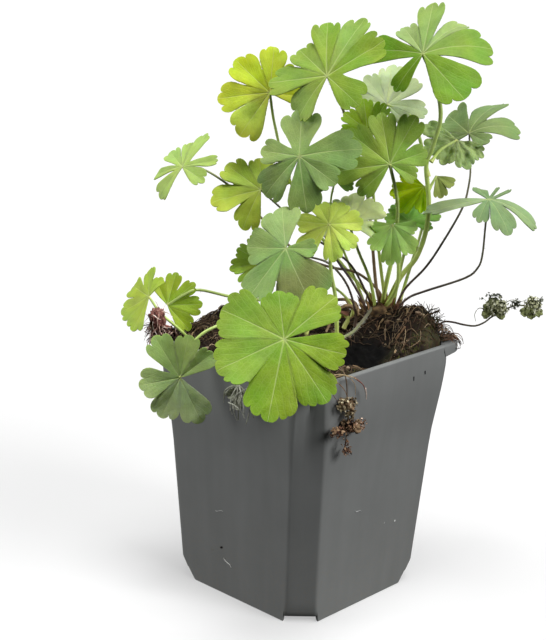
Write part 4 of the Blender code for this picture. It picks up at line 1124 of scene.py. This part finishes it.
def make_pot(settings):
    """The pot from one grid, its columns round the outline and its rows the levels, with drain
    holes cut in its floor."""
    levels = pot_levels()
    size = len(levels[0][0])
    deselect()
    bpy.ops.mesh.primitive_grid_add(x_subdivisions=size, y_subdivisions=len(levels) - 1, size=1)
    pot = bpy.context.object
    for vertex in pot.data.vertices:
        index = round((vertex.co.x + 0.5) * size) % size
        row = round((vertex.co.y + 0.5) * (len(levels) - 1))
        side, side_z, corner, corner_z, steps = levels[row]
        share = corner_share(index, size, steps)
        place = side[index].lerp(corner[index], share)
        # the skirt under each corner of the rim is shallower at its tip
        if corner_z < SKIRT_TOP and corner_z < side_z:
            corner_z += SKIRT_RISE * tip_share(index, size)
        vertex.co = Vector((*place, side_z + (corner_z - side_z) * share)) * MM
    merged(pot, 0.002)
    for x in (-1, 1):
        for y in (-1, 1):
            deselect()
            place = (x * DRAIN_HOLE_OFFSET * MM, y * DRAIN_HOLE_OFFSET * MM, FLOOR_HIGH * MM)
            bpy.ops.mesh.primitive_cylinder_add(vertices=32, radius=DRAIN_HOLE_RADIUS * MM,
                                                depth=8 * MM, location=place)
            drill = bpy.context.object
            apply_modifier(pot, "BOOLEAN", operation="DIFFERENCE", solver="EXACT", object=drill)
            bpy.data.objects.remove(drill)
    pot.data.materials.clear()
    pot.data.materials.append(pot_material(settings))
    return smoothed(pot, 40)


def soil_height(x, y):
    """The heaped surface of the solid's soil, with the crumb of peat added."""
    height = SOIL_LEVEL
    for mound in MOUNDS:
        away = math.hypot(x - mound.x, y - mound.y) / mound.radius
        height += mound.height * math.exp(-away * away)
    height += SOIL_ROUGHNESS * noise.fractal(Vector((x, y, 0)) / SOIL_GRAIN, 0.6, 2.2, 3)
    height += 1.1 * abs(noise.noise(Vector((x, y, 7)) / 3.2))
    height += (0.8 * noise.noise(Vector((x, y, 13)) / 1.5)
               + 0.35 * noise.noise(Vector((x, y, 29)) / 0.8))
    edge = max(abs(x), abs(y), (abs(x) + abs(y)) * 0.56) / (RIM_WIDTH / 2 - 1.5)
    over = held((edge - 0.8) / 0.2)
    return height + (min(height, SOIL_BRIM) - height) * over * over


def soil_tint(x, y, rng):
    """Near black peat, redder and fibrous at the right, purplish at the left, mossy at the rim,
    with painted shade, nearly black, in the hollow.
    """
    base = blend(linear("15100C"), linear("2E2118"), 0.5 + 0.9 * noise.noise(Vector((x, y, 3)) / 5))
    left = math.exp(-((x + 30) ** 2 + (y + 8) ** 2) / 500)
    base = blend(base, linear("2E2120"), 0.6 * left)
    # painted shade: the hollow in front of the crown is darkened to near black, deeper than its dip
    # in the surface
    hollow = min(1.0, 1.7 * math.exp(-((x - HOLLOW[0]) ** 2 + (y - HOLLOW[1]) ** 2) / 150))
    base = blend(base, linear("040404"), 0.97 * hollow)
    right = held((x - 30) / 14) * (0.5 + noise.noise(Vector((x, y, 41)) / 6))
    base = blend(base, linear("4C4730"), held(right, high=0.8))
    return [max(0.0, c * rng.uniform(0.75, 1.25)) for c in base]


def off_ground(x, y, corner=SOIL_CORNER, hollow=HOLLOW_REACH):
    """Whether a place is past the rim or in the hollow with its painted shade."""
    return (max(abs(x), abs(y)) > SOIL_SIDE or abs(x) + abs(y) > corner
            or math.hypot(x - HOLLOW[0], y - HOLLOW[1]) < hollow)


def on_section(u, v, ring_width, cut):
    """A point of the unit square moved to the same place in a square with cut corners."""
    far = max(abs(u), abs(v))
    if far < 1e-6:
        return 0.0, 0.0
    du, dv = u / far, v / far
    half = ring_width / 2
    reach = min(half, (2 * half - cut) / (abs(du) + abs(dv)))
    return du * reach * far, dv * reach * far


def make_soil(settings, material):
    """The root ball: a fine grid, its middle the surface and its outer rings down the wall."""
    cells, brim = settings.cells, len(SOIL_DEPTHS)
    deselect()
    bpy.ops.mesh.primitive_grid_add(x_subdivisions=cells, y_subdivisions=cells, size=2)
    soil = bpy.context.object
    rng = random.Random(4)
    inset = 2 * (WALL + SOIL_GAP)
    top_width, top_cut = body_width(BODY_HEIGHT) - inset, CORNER_CUT_TOP - SOIL_CUT_GAP
    inner = 1 - 2 * brim / cells
    colours = []
    for vertex in soil.data.vertices:
        u, v = vertex.co.x, vertex.co.y
        far = max(abs(u), abs(v))
        step = round((far - inner) * cells / 2)
        if step <= 0:
            x, y = on_section(u / inner, v / inner, top_width, top_cut)
            z = soil_height(x, y)
        else:
            x, y = on_section(u / far, v / far, top_width, top_cut)
            z = soil_height(x, y) - SOIL_DEPTHS[step] if step < brim else FLOOR_HIGH + 0.2
            level = min(z, BODY_HEIGHT)
            x, y = on_section(u / far, v / far, body_width(level) - inset,
                              corner_cut(level) - SOIL_CUT_GAP)
        vertex.co = Vector((x, y, z)) * MM
        colours.append(soil_tint(x, y, rng))
    soil.data.materials.append(material)
    set_tints(soil.data, colours)
    only(soil)
    bpy.ops.object.mode_set(mode="EDIT")
    bpy.ops.mesh.select_all(action="DESELECT")
    bpy.ops.mesh.select_mode(type="EDGE")
    bpy.ops.mesh.select_non_manifold()
    bpy.ops.mesh.edge_face_add()
    bpy.ops.mesh.select_all(action="SELECT")
    bpy.ops.mesh.normals_make_consistent(inside=False)
    bpy.ops.mesh.select_mode(type="VERT")
    bpy.ops.object.mode_set(mode="OBJECT")
    return smoothed(soil, 60)


def thread(line, radius, sides, end_share=0.4):
    """Points and faces of a thin closed tube along a line, drawn out towards its end."""
    points, faces = [], []
    for i, point in enumerate(line):
        ahead = (line[min(i + 1, len(line) - 1)] - line[max(i - 1, 0)]).normalized()
        out = ahead.orthogonal().normalized()
        side = ahead.cross(out)
        size = radius * (1 + (end_share - 1) * i / (len(line) - 1))
        for k in range(sides):
            turn = math.tau * k / sides
            points.append(point + (out * math.cos(turn) + side * math.sin(turn)) * size)
            if i:
                low, high = (i - 1) * sides, i * sides
                faces.append((low + k, low + (k + 1) % sides, high + (k + 1) % sides, high + k))
    faces.append(tuple(reversed(range(sides))))
    faces.append(tuple(range(len(points) - sides, len(points))))
    return points, faces


def fibre_line(x, y, rng, length, lift):
    """A crooked thread lying on the soil."""
    heading = rng.uniform(0, math.tau)
    bendiness = rng.uniform(-0.5, 0.5)
    steps = max(4, round(length / 1.8))
    line = []
    for k in range(steps + 1):
        t = k / steps
        z = soil_height(x, y) + 0.15 + lift * math.sin(math.pi * t)
        line.append(Vector((x, y, z)))
        heading += bendiness * 0.5 + rng.uniform(-0.35, 0.35)
        x += math.cos(heading) * length / steps
        y += math.sin(heading) * length / steps
        if off_ground(x, y, hollow=HOLLOW_REACH - 2):
            break
    return line


def coloured_thread(line, colours, radii, rng, sides=3, end_share=0.4):
    """A thread's shell along the line, in one of the colours, its radius drawn from radii."""
    colour = linear(rng.choice(colours))
    return (*thread(line, rng.uniform(*radii), sides, end_share), colour)


def wander(start, ahead, turns, falls, reach, rng, brim=0.0):
    """A crooked line. At each step it turns by chance along x, y and z, about as much as turns
    says, bends down by that step's fall and goes on by a draw from reach. Inside the rim it stays
    above brim."""
    line = [start]
    for fall in falls:
        turn = Vector([rng.gauss(0, size) if size else 0.0 for size in turns])
        ahead = (ahead + turn - Vector((0, 0, fall))).normalized()
        point = line[-1] + ahead * rng.uniform(*reach)
        if point.z < brim and max(-point.x, -point.y) < RIM_WIDTH / 2:
            point.z = brim
        line.append(point)
    return line


def soil_fibres(settings, rng):
    """Peat fibres and dead rootlets: many dark and brown ones, and some straw coloured."""
    shells = []
    while len(shells) < settings.fibres:
        x, y = rng.uniform(-41, 41), rng.uniform(-41, 41)
        if off_ground(x, y, SOIL_CORNER - 2):
            continue
        line = fibre_line(x, y, rng, rng.uniform(4, 13), rng.uniform(0.1, 1.5))
        if len(line) < 4:
            continue
        colours = ("342820", "46382A", "54412E", "644C38", "76624A", "4C4230",
                   "7A6A50" if rng.random() < 0.6 else "B29C7C")
        shells.append(coloured_thread(line, colours, (0.1, 0.26), rng))
    return shells


def corner_tangle(rng):
    """The dark tangle that stands up at the right corner, and paler threads past the rim there."""
    shells = []
    for _ in range(TANGLE_THREADS):
        x, y = rng.gauss(37, 2.6), rng.gauss(37, 3.4)
        x, y = min(x, 41), min(y, 41)
        up = Vector((rng.gauss(0.15, 0.5), rng.gauss(0.15, 0.5), rng.uniform(0.3, 1.1)))
        line = wander(Vector((x, y, soil_height(x, y) - 0.5)), up.normalized(), (0.35,) * 3,
                      [0] * 5, (0.9, 1.7), rng)
        shells.append(coloured_thread(line, ("231C16", "2F261C", "3A3122", "3B3D22", "54402C"),
                                      (0.18, 0.4), rng))
    for _ in range(RIM_THREADS):
        start = Vector((rng.uniform(37, 42), rng.uniform(35, 42), 0))
        start.z = max(POT_HEIGHT + 0.3, soil_height(start.x, start.y)) + rng.uniform(0, 1.5)
        out = Vector((rng.uniform(0.2, 1), rng.uniform(0.3, 1), rng.uniform(-0.1, 0.35)))
        line = wander(start, out.normalized(), (0.2, 0.2, 0), [0.12 * k for k in range(6)],
                      (1.0, 1.9), rng)
        shells.append(coloured_thread(line, ("9A8069", "B9A48C", "6F5140", "4A372B", "7E6450"),
                                      (0.15, 0.35), rng))
    return shells


def moss(rng):
    """Moss leaflets, slim cones in low tufts along the right rim and at the front corner."""
    shells = []
    for _ in range(MOSS_TUFTS):
        if rng.random() < 0.6:
            x, y = rng.gauss(40.4, 1.4), rng.uniform(-36, 34)
        else:
            x, y = rng.uniform(27, 40), rng.gauss(-37.5, 2.4)
        x, y = min(x, 42), max(y, -42)
        colour = blend(linear("33341A"), linear("6A6C34"), rng.random())
        for _ in range(MOSS_LEAFLETS):
            foot = Vector((x + rng.gauss(0, 0.6), y + rng.gauss(0, 0.6), 0))
            foot.z = soil_height(foot.x, foot.y) - 0.2
            up = Vector((rng.gauss(0, 0.7), rng.gauss(0, 0.7), 1)).normalized()
            line = [foot, foot + up * rng.uniform(0.6, 1.5)]
            shells.append((*thread(line, 0.17, 3, 0.1), colour))
    return shells


def crumbs(settings, rng):
    """Crumbs of peat, bark and grit, each a lumpy ball of twenty faces."""
    model = ball(1)
    shape = [vertex.co.copy() for vertex in model.data.vertices]
    faces = [tuple(polygon.vertices) for polygon in model.data.polygons]
    bpy.data.objects.remove(model)
    shells = []
    while len(shells) < settings.crumbs:
        x, y = rng.uniform(-42, 42), rng.uniform(-42, 42)
        if off_ground(x, y):
            continue
        size = rng.uniform(0.35, 1.25)
        stretch = Vector((rng.uniform(0.7, 1.5), rng.uniform(0.6, 1.1), rng.uniform(0.4, 0.9)))
        stretch *= size
        spin = Matrix.Rotation(rng.uniform(0, math.tau), 3, "Z") @ Matrix.Rotation(
            rng.uniform(-0.6, 0.6), 3, "X")
        centre = Vector((x, y, soil_height(x, y) + 0.2 * size))
        points = [centre + spin @ Vector([c * s * rng.uniform(0.75, 1.2)
                                          for c, s in zip(corner, stretch)]) for corner in shape]
        colour = rng.choice(("231C16", "2E241B", "3A2D20", "2A221C", "4A3A2A", "5C4938", "96856C",
                             "1F1914", "2E241B", "8A7662"))
        shells.append((points, faces, linear(colour)))
    return shells


def chips(rng):
    """The bits of bark and dead stem."""
    shells = []
    for x, y, length in CHIPS:
        line = fibre_line(x, y, rng, length, 0.8)
        if len(line) > 2:
            shells.append(coloured_thread(line, ("A58C68", "8C7152", "6E543C"), (0.25, 0.45), rng,
                                          5, 0.6))
    return shells


def pot_specks():
    """What sticks to the pot's faces: a pale rootlet, short pale scratches, a crumb and grit."""
    shells = []
    slope = (BODY_TOP_WIDTH - BODY_FOOT_WIDTH) / 2 / BODY_HEIGHT
    for face, along, z, length, rise, colour, size in SPECKS:
        half = body_width(z) / 2
        half += (RIM_WIDTH / 2 - half) * flare(z) + 0.05
        line = []
        for k in range(5):
            t = k / 4 - 0.5
            a = along + length * t
            h = z + rise * t + 0.25 * math.sin(9 * t) * min(1, length / 3)
            out = half + slope * (h - z)
            line.append(Vector((a, -out, h) if face == "left" else (out, a, h)))
        shells.append((*thread(line, size, 5, 0.8), linear(colour)))
    return shells


def lump(centre, radii, material, form):
    """A ball pushed in and out. form gives the size, as a share of the radii, and the tint at each
    of its directions."""
    obj = ball(5)
    tints = []
    for vertex in obj.data.vertices:
        unit = vertex.co.copy()
        size, tint = form(unit)
        place = [c * r * size + m for c, r, m in zip(unit, radii, centre)]
        vertex.co = Vector(place) * MM
        tints.append(tint)
    obj.data.materials.append(material)
    set_tints(obj.data, tints)
    return smoothed(obj, 180)


def knobs(unit):
    """The rootstock's lumpy bark."""
    size = (1 + 0.12 * noise.noise(unit * 2.0) + 0.07 * noise.noise(unit * 6)
            + 0.03 * noise.noise(unit * 14))
    return size, blend(linear("3A2B20"), linear("8A6E4C"), 0.5 + noise.noise(unit * 5))


def creases(unit):
    """The dried calyx's wrinkles, which run upwards, with painted shade that darkens them where
    they are deep.
    """
    crease = abs(noise.noise(Vector((unit.x * 3.2, unit.y * 3.2, unit.z * 1.2)) * 1.6))
    return (0.82 + 0.5 * crease + 0.1 * noise.noise(unit * 6),
            blend(linear("52282A"), linear("A8766A"), min(1.0, 2.2 * crease)))


def stipules(rng):
    """Papery pointed scales at the feet of the petioles, straw to red-brown."""
    shells = []
    for _, stem in (STEM_LEAVES["top_right"], *LEAVES.values()):
        foot = Vector(stem.route[0])
        if foot.z < CROWN_HEIGHT:
            continue
        along = (Vector(stem.route[1]) - foot).normalized()
        for _ in range(3):
            out = along.orthogonal().normalized()
            out.rotate(Matrix.Rotation(rng.uniform(0, math.tau), 3, along))
            start = foot - along * 1.5 + out * (stem.radius + 0.1)
            middle = start + along * rng.uniform(2, 3) + out * 0.5
            tip = middle + along * rng.uniform(1.5, 3.5) + out * rng.uniform(0.3, 1.2)
            colour = linear(rng.choice(("A8895F", "8D6A48", "7A5340", "B79C74")))
            side = along.cross(out) * 0.9
            points = [start - side, start + side, middle + side * 0.9, tip, middle - side * 0.9,
                      middle - out * 0.3]
            faces = [(0, 1, 2, 3, 4), (0, 5, 1), (1, 5, 2), (2, 5, 3), (3, 5, 4), (4, 5, 0)]
            shells.append((points, faces, colour))
    return shells


def flake(place, size, turn, rng):
    """A dry curled bit of leaf: a bent lens of eight points."""
    bend = rng.uniform(0.3, 1.1)
    points = []
    for k in range(6):
        around_it = math.tau * k / 6
        x = size * math.cos(around_it) * rng.uniform(0.7, 1.25)
        y = 0.65 * size * math.sin(around_it) * rng.uniform(0.6, 1.25)
        points.append(Vector((x, y, bend * x * x / size)))
    points += [Vector((0, 0, 0.14)), Vector((0, 0, -0.14))]
    faces = [(6, k, (k + 1) % 6) for k in range(6)] + [(7, (k + 1) % 6, k) for k in range(6)]
    return [place + turn @ point for point in points], faces


def curled_bits(name, rng):
    """The shrivelled edges of a withered leaf, with painted shade that darkens them inside the
    clump, and pale at its outside.
    """
    shells = []
    for centre, radii, count, size, colours in CLUMPS.get(name, ()):
        for _ in range(count):
            out = Vector([rng.gauss(0, 1) for _ in range(3)]).normalized()
            far = rng.random() ** 0.45
            place = Vector([c + o * r * far for c, o, r in zip(centre, out, radii)])
            turn = Matrix.Rotation(rng.uniform(0, math.tau), 3, out)
            turn = turn @ out.to_track_quat("Z", "X").to_matrix()
            # painted shade: the further inside the clump a bit lies, the darker its colour
            shade = held(3 * far ** 2 + rng.gauss(-0.3, 0.7), high=3.0)
            step = min(2, int(shade))
            colour = blend(linear(colours[step]), linear(colours[step + 1]), shade - step)
            shells.append((*flake(place, size * rng.uniform(0.5, 1.25), turn, rng), colour))
    return shells


def loose_threads(name):
    """The dead threads beside a withered leaf."""
    return [(*thread(smooth_line(route, 0.8), radius, 5), linear(colour))
            for radius, colour, route in LOOSE_THREADS.get(name, ())]


def calyx_threads(rng):
    """Pale threads about the calyx, and the dark fibres that hang over the rim below it."""
    shells = []
    for _ in range(CALYX_THREADS):
        out = Vector((rng.gauss(0, 1), rng.gauss(-0.3, 0.7), rng.gauss(-0.4, 0.9))).normalized()
        start = Vector([c + o * r * 0.9 for c, o, r in zip(CALYX_CENTRE, out, CALYX_RADII)])
        ahead = out.cross(Vector((0, 1, 0))).normalized() * rng.choice((-1, 1)) + out * 0.5
        line = wander(start, ahead, (0.3,) * 3, [0.12] * 7, (0.7, 1.3), rng)
        shells.append(coloured_thread(line, ("E2D2C6", "C9A596", "B98D80", "8F5A50", "D8BFB2"),
                                      (0.14, 0.3), rng))
    for _ in range(RIM_FIBRES):
        start = Vector((rng.uniform(-42.5, -33), rng.uniform(-45, -39), rng.uniform(103.4, 107.5)))
        out = Vector((rng.gauss(-0.35, 0.5), rng.gauss(-0.6, 0.4), rng.gauss(0.1, 0.5)))
        line = wander(start, out.normalized(), (0.3, 0.3, 0), [0.28] * 6, (0.7, 1.4), rng,
                      POT_HEIGHT + 0.2)
        colours = ("3A2426", "4C2F2E", "5E3B38", "7A5048", "A07A6C", "C4A596", "2A1D1D")
        shells.append(coloured_thread(line, colours, (0.16, 0.38), rng))
    return shells


def shared_materials():
    """The finishes that several pieces share, made once."""
    made = {material.name: material for material in bpy.data.materials}
    if "petiole_skin" not in made:
        leaf_material("leaf_upper_skin", "upper")
        leaf_material("leaf_under_skin", "under")
        # the margin's pale colour is partly its own callus and partly a painted rim highlight
        tinted_material("leaf_margin_callus", 0.6, 2.0, 0.05, "E9E6D0", 0.55)
        tinted_material("petiole_skin", 0.45, 4.0, 0.12, Sheen_Weight=0.15)
        tinted_material("peat_and_fibre", 0.95, 1.2, 0.35, bump=0.6, Specular_IOR_Level=0.2)
        tinted_material("dead_rootlet", 0.85, 2.0, 0.2, Specular_IOR_Level=0.3)
        tinted_material("withered_leaf", 0.8, 1.0, 0.45, bump=0.9, Specular_IOR_Level=0.25)
        made = {material.name: material for material in bpy.data.materials}
    return made


def leaf_skins():
    """A blade's finishes: upper face, underside and margin."""
    shared = shared_materials()
    return [shared[name] for name in ("leaf_upper_skin", "leaf_under_skin", "leaf_margin_callus")]


def light_strength(name, light, default):
    """The setting for one light of the studio."""
    return FloatProperty(name=name, description="Strength of the " + light, default=default, min=0)


class GeraniumStage(PropertyGroup):
    """The floor and the lights."""

    floor_colour: FloatVectorProperty(name="Floor colour", description="Colour of the plain floor",
                                      subtype="COLOR", default=linear("AAAAAA")[:3], min=0, max=1)
    floor_glow: light_strength("Floor glow", "light table's own light", 0.46)
    key_strength: light_strength("Key light", "high light at the right", 2.4)
    right_strength: light_strength("Right light", "low light at the right", 0.55)
    top_strength: light_strength("Top light", "wide light overhead", 2.5)
    left_strength: light_strength("Left light", "light at the left", 3.0)
    back_strength: light_strength("Back light", "fill behind the plant", 0.6)


class GeraniumPot(PropertyGroup):
    """The nursery pot's finish."""

    plastic_colour: FloatVectorProperty(
        name="Plastic colour", description="Colour of the moulded plastic", subtype="COLOR",
        default=linear("7B7D7C")[:3], min=0, max=1)


class GeraniumSoil(PropertyGroup):
    """How finely the soil is made and how much lies on it."""

    cells: IntProperty(name="Surface cells", description="Cells along each side of the surface",
                       default=176, min=60, max=260)
    fibres: IntProperty(name="Fibres", description="Number of peat fibres", default=1300, min=0)
    crumbs: IntProperty(name="Crumbs", description="Number of loose crumbs", default=700, min=0)


class GeraniumLeaves(PropertyGroup):
    """The leaf blades' and stalks' sizes."""

    blade_thickness: FloatProperty(name="Blade thickness", description="Thickness of a leaf blade",
                                   default=0.4 * MM, min=0.1 * MM, unit="LENGTH")
    scallop_depth: FloatProperty(name="Scallop depth",
                                 description="Depth of the deepest notches as a share of the lobe",
                                 default=SCALLOP_DEPTH, min=0, max=0.3)
    stalk_share: FloatProperty(name="Stalk girth", description="Radius as a share of the solid's",
                               default=0.74, min=0.3, max=1.2)
    hair_length: FloatProperty(name="Hair length", description="Length of a stalk's hairs, in mm",
                               default=0.9, min=0)


class GERANIUM_OT_stage(Operator):
    """Makes the pale floor, the soft studio lights and the camera"""

    bl_idname = "geranium.stage"
    bl_label = "Stage"

    def execute(self, context):
        settings = context.scene.geranium_stage
        deselect()
        bpy.ops.mesh.primitive_circle_add(vertices=96, radius=14, fill_type="NGON")
        floor = context.object
        floor.name = "studio_floor"
        # opal acrylic of a light table: even, pale and glowing a little, so shadows stay thin
        material, tree, shader = new_material("opal_acrylic_light_table")
        fill(tree, shader, {"Base Color": (*settings.floor_colour, 1), "Roughness": 0.95,
                            "Specular IOR Level": 0.1, "Emission Color": (1, 1, 1, 1),
                            "Emission Strength": settings.floor_glow})
        floor.data.materials.append(material)
        floor.visible_diffuse = floor.visible_glossy = False
        # (name, direction to the light, strength, angular size)
        lights = (("high_right_softbox", (0.815, 0.12, 0.56), settings.key_strength, 26),
                  ("low_right_softbox", (0.78, 0.61, 0.08), settings.right_strength, 40),
                  ("overhead_softbox", (0.08, -0.02, 1.0), settings.top_strength, 24),
                  ("left_softbox", (-0.72, -0.68, 0.12), settings.left_strength, 40),
                  ("back_fill", (-0.5, 0.8, 0.5), settings.back_strength, 80))
        for name, direction, strength, size in lights:
            deselect()
            bpy.ops.object.light_add(type="SUN", location=Vector(direction) * 2)
            lamp = context.object
            lamp.name = name
            lamp.data.energy = strength
            lamp.data.angle = math.radians(size)
            lamp.rotation_euler = (-Vector(direction)).to_track_quat("-Z", "Y").to_euler()
        world = bpy.data.worlds.new("white_studio")
        world.use_nodes = True
        fill(world.node_tree, world.node_tree.nodes["Background"],
             {"Color": (1, 1, 1, 1), "Strength": 1.0})
        world.cycles_visibility.diffuse = world.cycles_visibility.glossy = False
        context.scene.world = world
        context.scene.view_settings.view_transform = "Standard"
        deselect()
        bpy.ops.object.camera_add()
        camera = context.object
        camera.name = "camera"
        camera.data.sensor_fit = "VERTICAL"
        camera.data.sensor_height = SENSOR_HEIGHT
        camera.data.lens = LENS
        camera.data.clip_start = 0.02
        turned = Matrix((CAMERA_RIGHT, CAMERA_UP, CAMERA_BACK)).transposed().to_4x4()
        camera.matrix_world = Matrix.Translation(Vector(CAMERA_PLACE) * MM) @ turned
        context.scene.camera = camera
        return {"FINISHED"}


class GERANIUM_OT_pot(Operator):
    """Makes the moulded nursery pot and what sticks to it"""

    bl_idname = "geranium.pot"
    bl_label = "Nursery pot"

    def execute(self, context):
        settings = context.scene.geranium_pot
        finished(make_pot(settings), "moulded_pot", "pot_plastic", "pot")
        specks = mesh_piece("specks", pot_specks(), shared_materials()["dead_rootlet"])
        finished(specks, "specks_on_the_pot", "pot_plastic")
        return {"FINISHED"}


class GERANIUM_OT_soil(Operator):
    """Makes the root ball's crumbly surface with crumbs, fibres, chips and moss"""

    bl_idname = "geranium.soil"
    bl_label = "Soil"

    def execute(self, context):
        settings = context.scene.geranium_soil
        shared = shared_materials()
        finished(make_soil(settings, shared["peat_and_fibre"]), "peat_root_ball", "peat", "soil")
        rng = random.Random(11)
        loose = mesh_piece("crumbs", crumbs(settings, rng), shared["peat_and_fibre"])
        finished(loose, "peat_crumbs", "peat")
        threads = soil_fibres(settings, rng) + corner_tangle(rng) + chips(rng)
        fibres = mesh_piece("fibres", threads, shared["dead_rootlet"])
        finished(fibres, "peat_fibres", "peat")
        green = mesh_piece("moss", moss(rng), shared["peat_and_fibre"])
        finished(green, "moss_tufts", "peat")
        return {"FINISHED"}


class GERANIUM_OT_rootstock(Operator):
    """Makes the rootstock, its papery scales and the roots over the soil"""

    bl_idname = "geranium.rootstock"
    bl_label = "Rootstock and roots"

    def execute(self, context):
        bark = shared_materials()["dead_rootlet"]
        scales = mesh_piece("scales", stipules(random.Random(5)), bark)
        crown = joined([lump(ROOTSTOCK_CENTRE, ROOTSTOCK_RADII, bark, knobs), scales])
        finished(crown, "knobbly_rootstock", "root_bark", "rootstock")
        for name, root in SURFACE_ROOTS.items():
            piece = stalk(name, root, root.route, 1.0, bark, end_share=0.6)
            finished(piece, name.replace("surface_root", "bare_root"), "root_bark", name)
        return {"FINISHED"}


class GERANIUM_OT_leafy_stem(Operator):
    """Makes the tall stem with its branches and four leaves"""

    bl_idname = "geranium.leafy_stem"
    bl_label = "Leafy stem"

    def execute(self, context):
        settings = context.scene.geranium_leaves
        skin = shared_materials()["petiole_skin"]
        pieces = []
        for i, (leaf, branch) in enumerate(STEM_LEAVES.values()):
            route = (*(branch.route if i else rooted(branch.route)), leaf.hub)
            pieces.append(stalk("stem", branch, route, settings.stalk_share, skin,
                                settings.hair_length, i))
        for i, (leaf, _) in enumerate(STEM_LEAVES.values()):
            pieces.append(blade("blade", leaf, leaf_skins(), 100 + i))
        finished(joined(pieces), "stem_with_leaves", "leaf_green", "leafy_stem")
        return {"FINISHED"}


class GERANIUM_OT_leaves(Operator):
    """Makes each leaf that rises from the rootstock, with its petiole"""

    bl_idname = "geranium.leaves"
    bl_label = "Leaves"

    def execute(self, context):
        settings = context.scene.geranium_leaves
        skin = shared_materials()["petiole_skin"]
        for i, (name, (leaf, petiole)) in enumerate(LEAVES.items()):
            piece = blade(name, leaf, leaf_skins(), i)
            stem = stalk("petiole", petiole, (*rooted(petiole.route), leaf.hub),
                         settings.stalk_share, skin, settings.hair_length, i)
            if petiole.colour == STALK_GREEN:
                piece = joined([piece, stem])
            else:
                finished(stem, "stalk_of_" + name, petiole.colour, "petiole_" + name)
            finished(piece, "blade_" + name, leaf.colour, "leaf_" + name)
        return {"FINISHED"}


class GERANIUM_OT_withered(Operator):
    """Makes the withered leaves and the dried calyx at the rim"""

    bl_idname = "geranium.withered"
    bl_label = "Withered leaves"

    def execute(self, context):
        dead = shared_materials()["withered_leaf"]
        for i, (name, (stem, leaves)) in enumerate(WITHERED.items()):
            pieces = [stalk(name, stem, stem.route, WITHERED_STALK_SHARE, dead, seed=i)]
            for k, leaf in enumerate(leaves):
                pieces.append(blade("crumpled", leaf, [dead] * 3, 200 + 10 * i + k))
            bits = curled_bits(name, random.Random(30 + i)) + loose_threads(name)
            if name == "dried_calyx":
                pieces.append(lump(CALYX_CENTRE, CALYX_RADII, dead, creases))
                bits += calyx_threads(random.Random(7))
            pieces.append(mesh_piece("bits", bits, dead))
            slot = leaves[0].colour if leaves else stem.colour
            finished(joined(pieces), "dead_" + name, slot, name)
        return {"FINISHED"}


class GERANIUM_PT_panel(Panel):
    """The plant's settings and the buttons that make its pieces"""

    bl_idname = "GERANIUM_PT_panel"
    bl_label = "Geranium"
    bl_space_type = "VIEW_3D"
    bl_region_type = "UI"
    bl_category = "Geranium"

    def draw(self, context):
        for name, group in SETTINGS.items():
            box = self.layout.box()
            for key in group.__annotations__:
                box.prop(getattr(context.scene, name), key)
        for operator in OPERATORS:
            self.layout.operator(operator.bl_idname)


SETTINGS = {"geranium_stage": GeraniumStage, "geranium_pot": GeraniumPot,
            "geranium_soil": GeraniumSoil, "geranium_leaves": GeraniumLeaves}
OPERATORS = (GERANIUM_OT_stage, GERANIUM_OT_pot, GERANIUM_OT_soil, GERANIUM_OT_rootstock,
             GERANIUM_OT_leafy_stem, GERANIUM_OT_leaves, GERANIUM_OT_withered)


def register():
    for name, group in SETTINGS.items():
        bpy.utils.register_class(group)
        setattr(bpy.types.Scene, name, PointerProperty(type=group))
    for kind in (*OPERATORS, GERANIUM_PT_panel):
        bpy.utils.register_class(kind)


def unregister():
    """Takes back what register made, for Blender's add-on list."""
    for kind in reversed((*OPERATORS, GERANIUM_PT_panel)):
        bpy.utils.unregister_class(kind)
    for name, group in SETTINGS.items():
        delattr(bpy.types.Scene, name)
        bpy.utils.unregister_class(group)


def main():
    """Makes every piece in order."""
    register()
    bpy.ops.geranium.stage()
    bpy.ops.geranium.pot()
    bpy.ops.geranium.soil()
    bpy.ops.geranium.rootstock()
    bpy.ops.geranium.leafy_stem()
    bpy.ops.geranium.leaves()
    bpy.ops.geranium.withered()


if __name__ == "__main__":
    main()
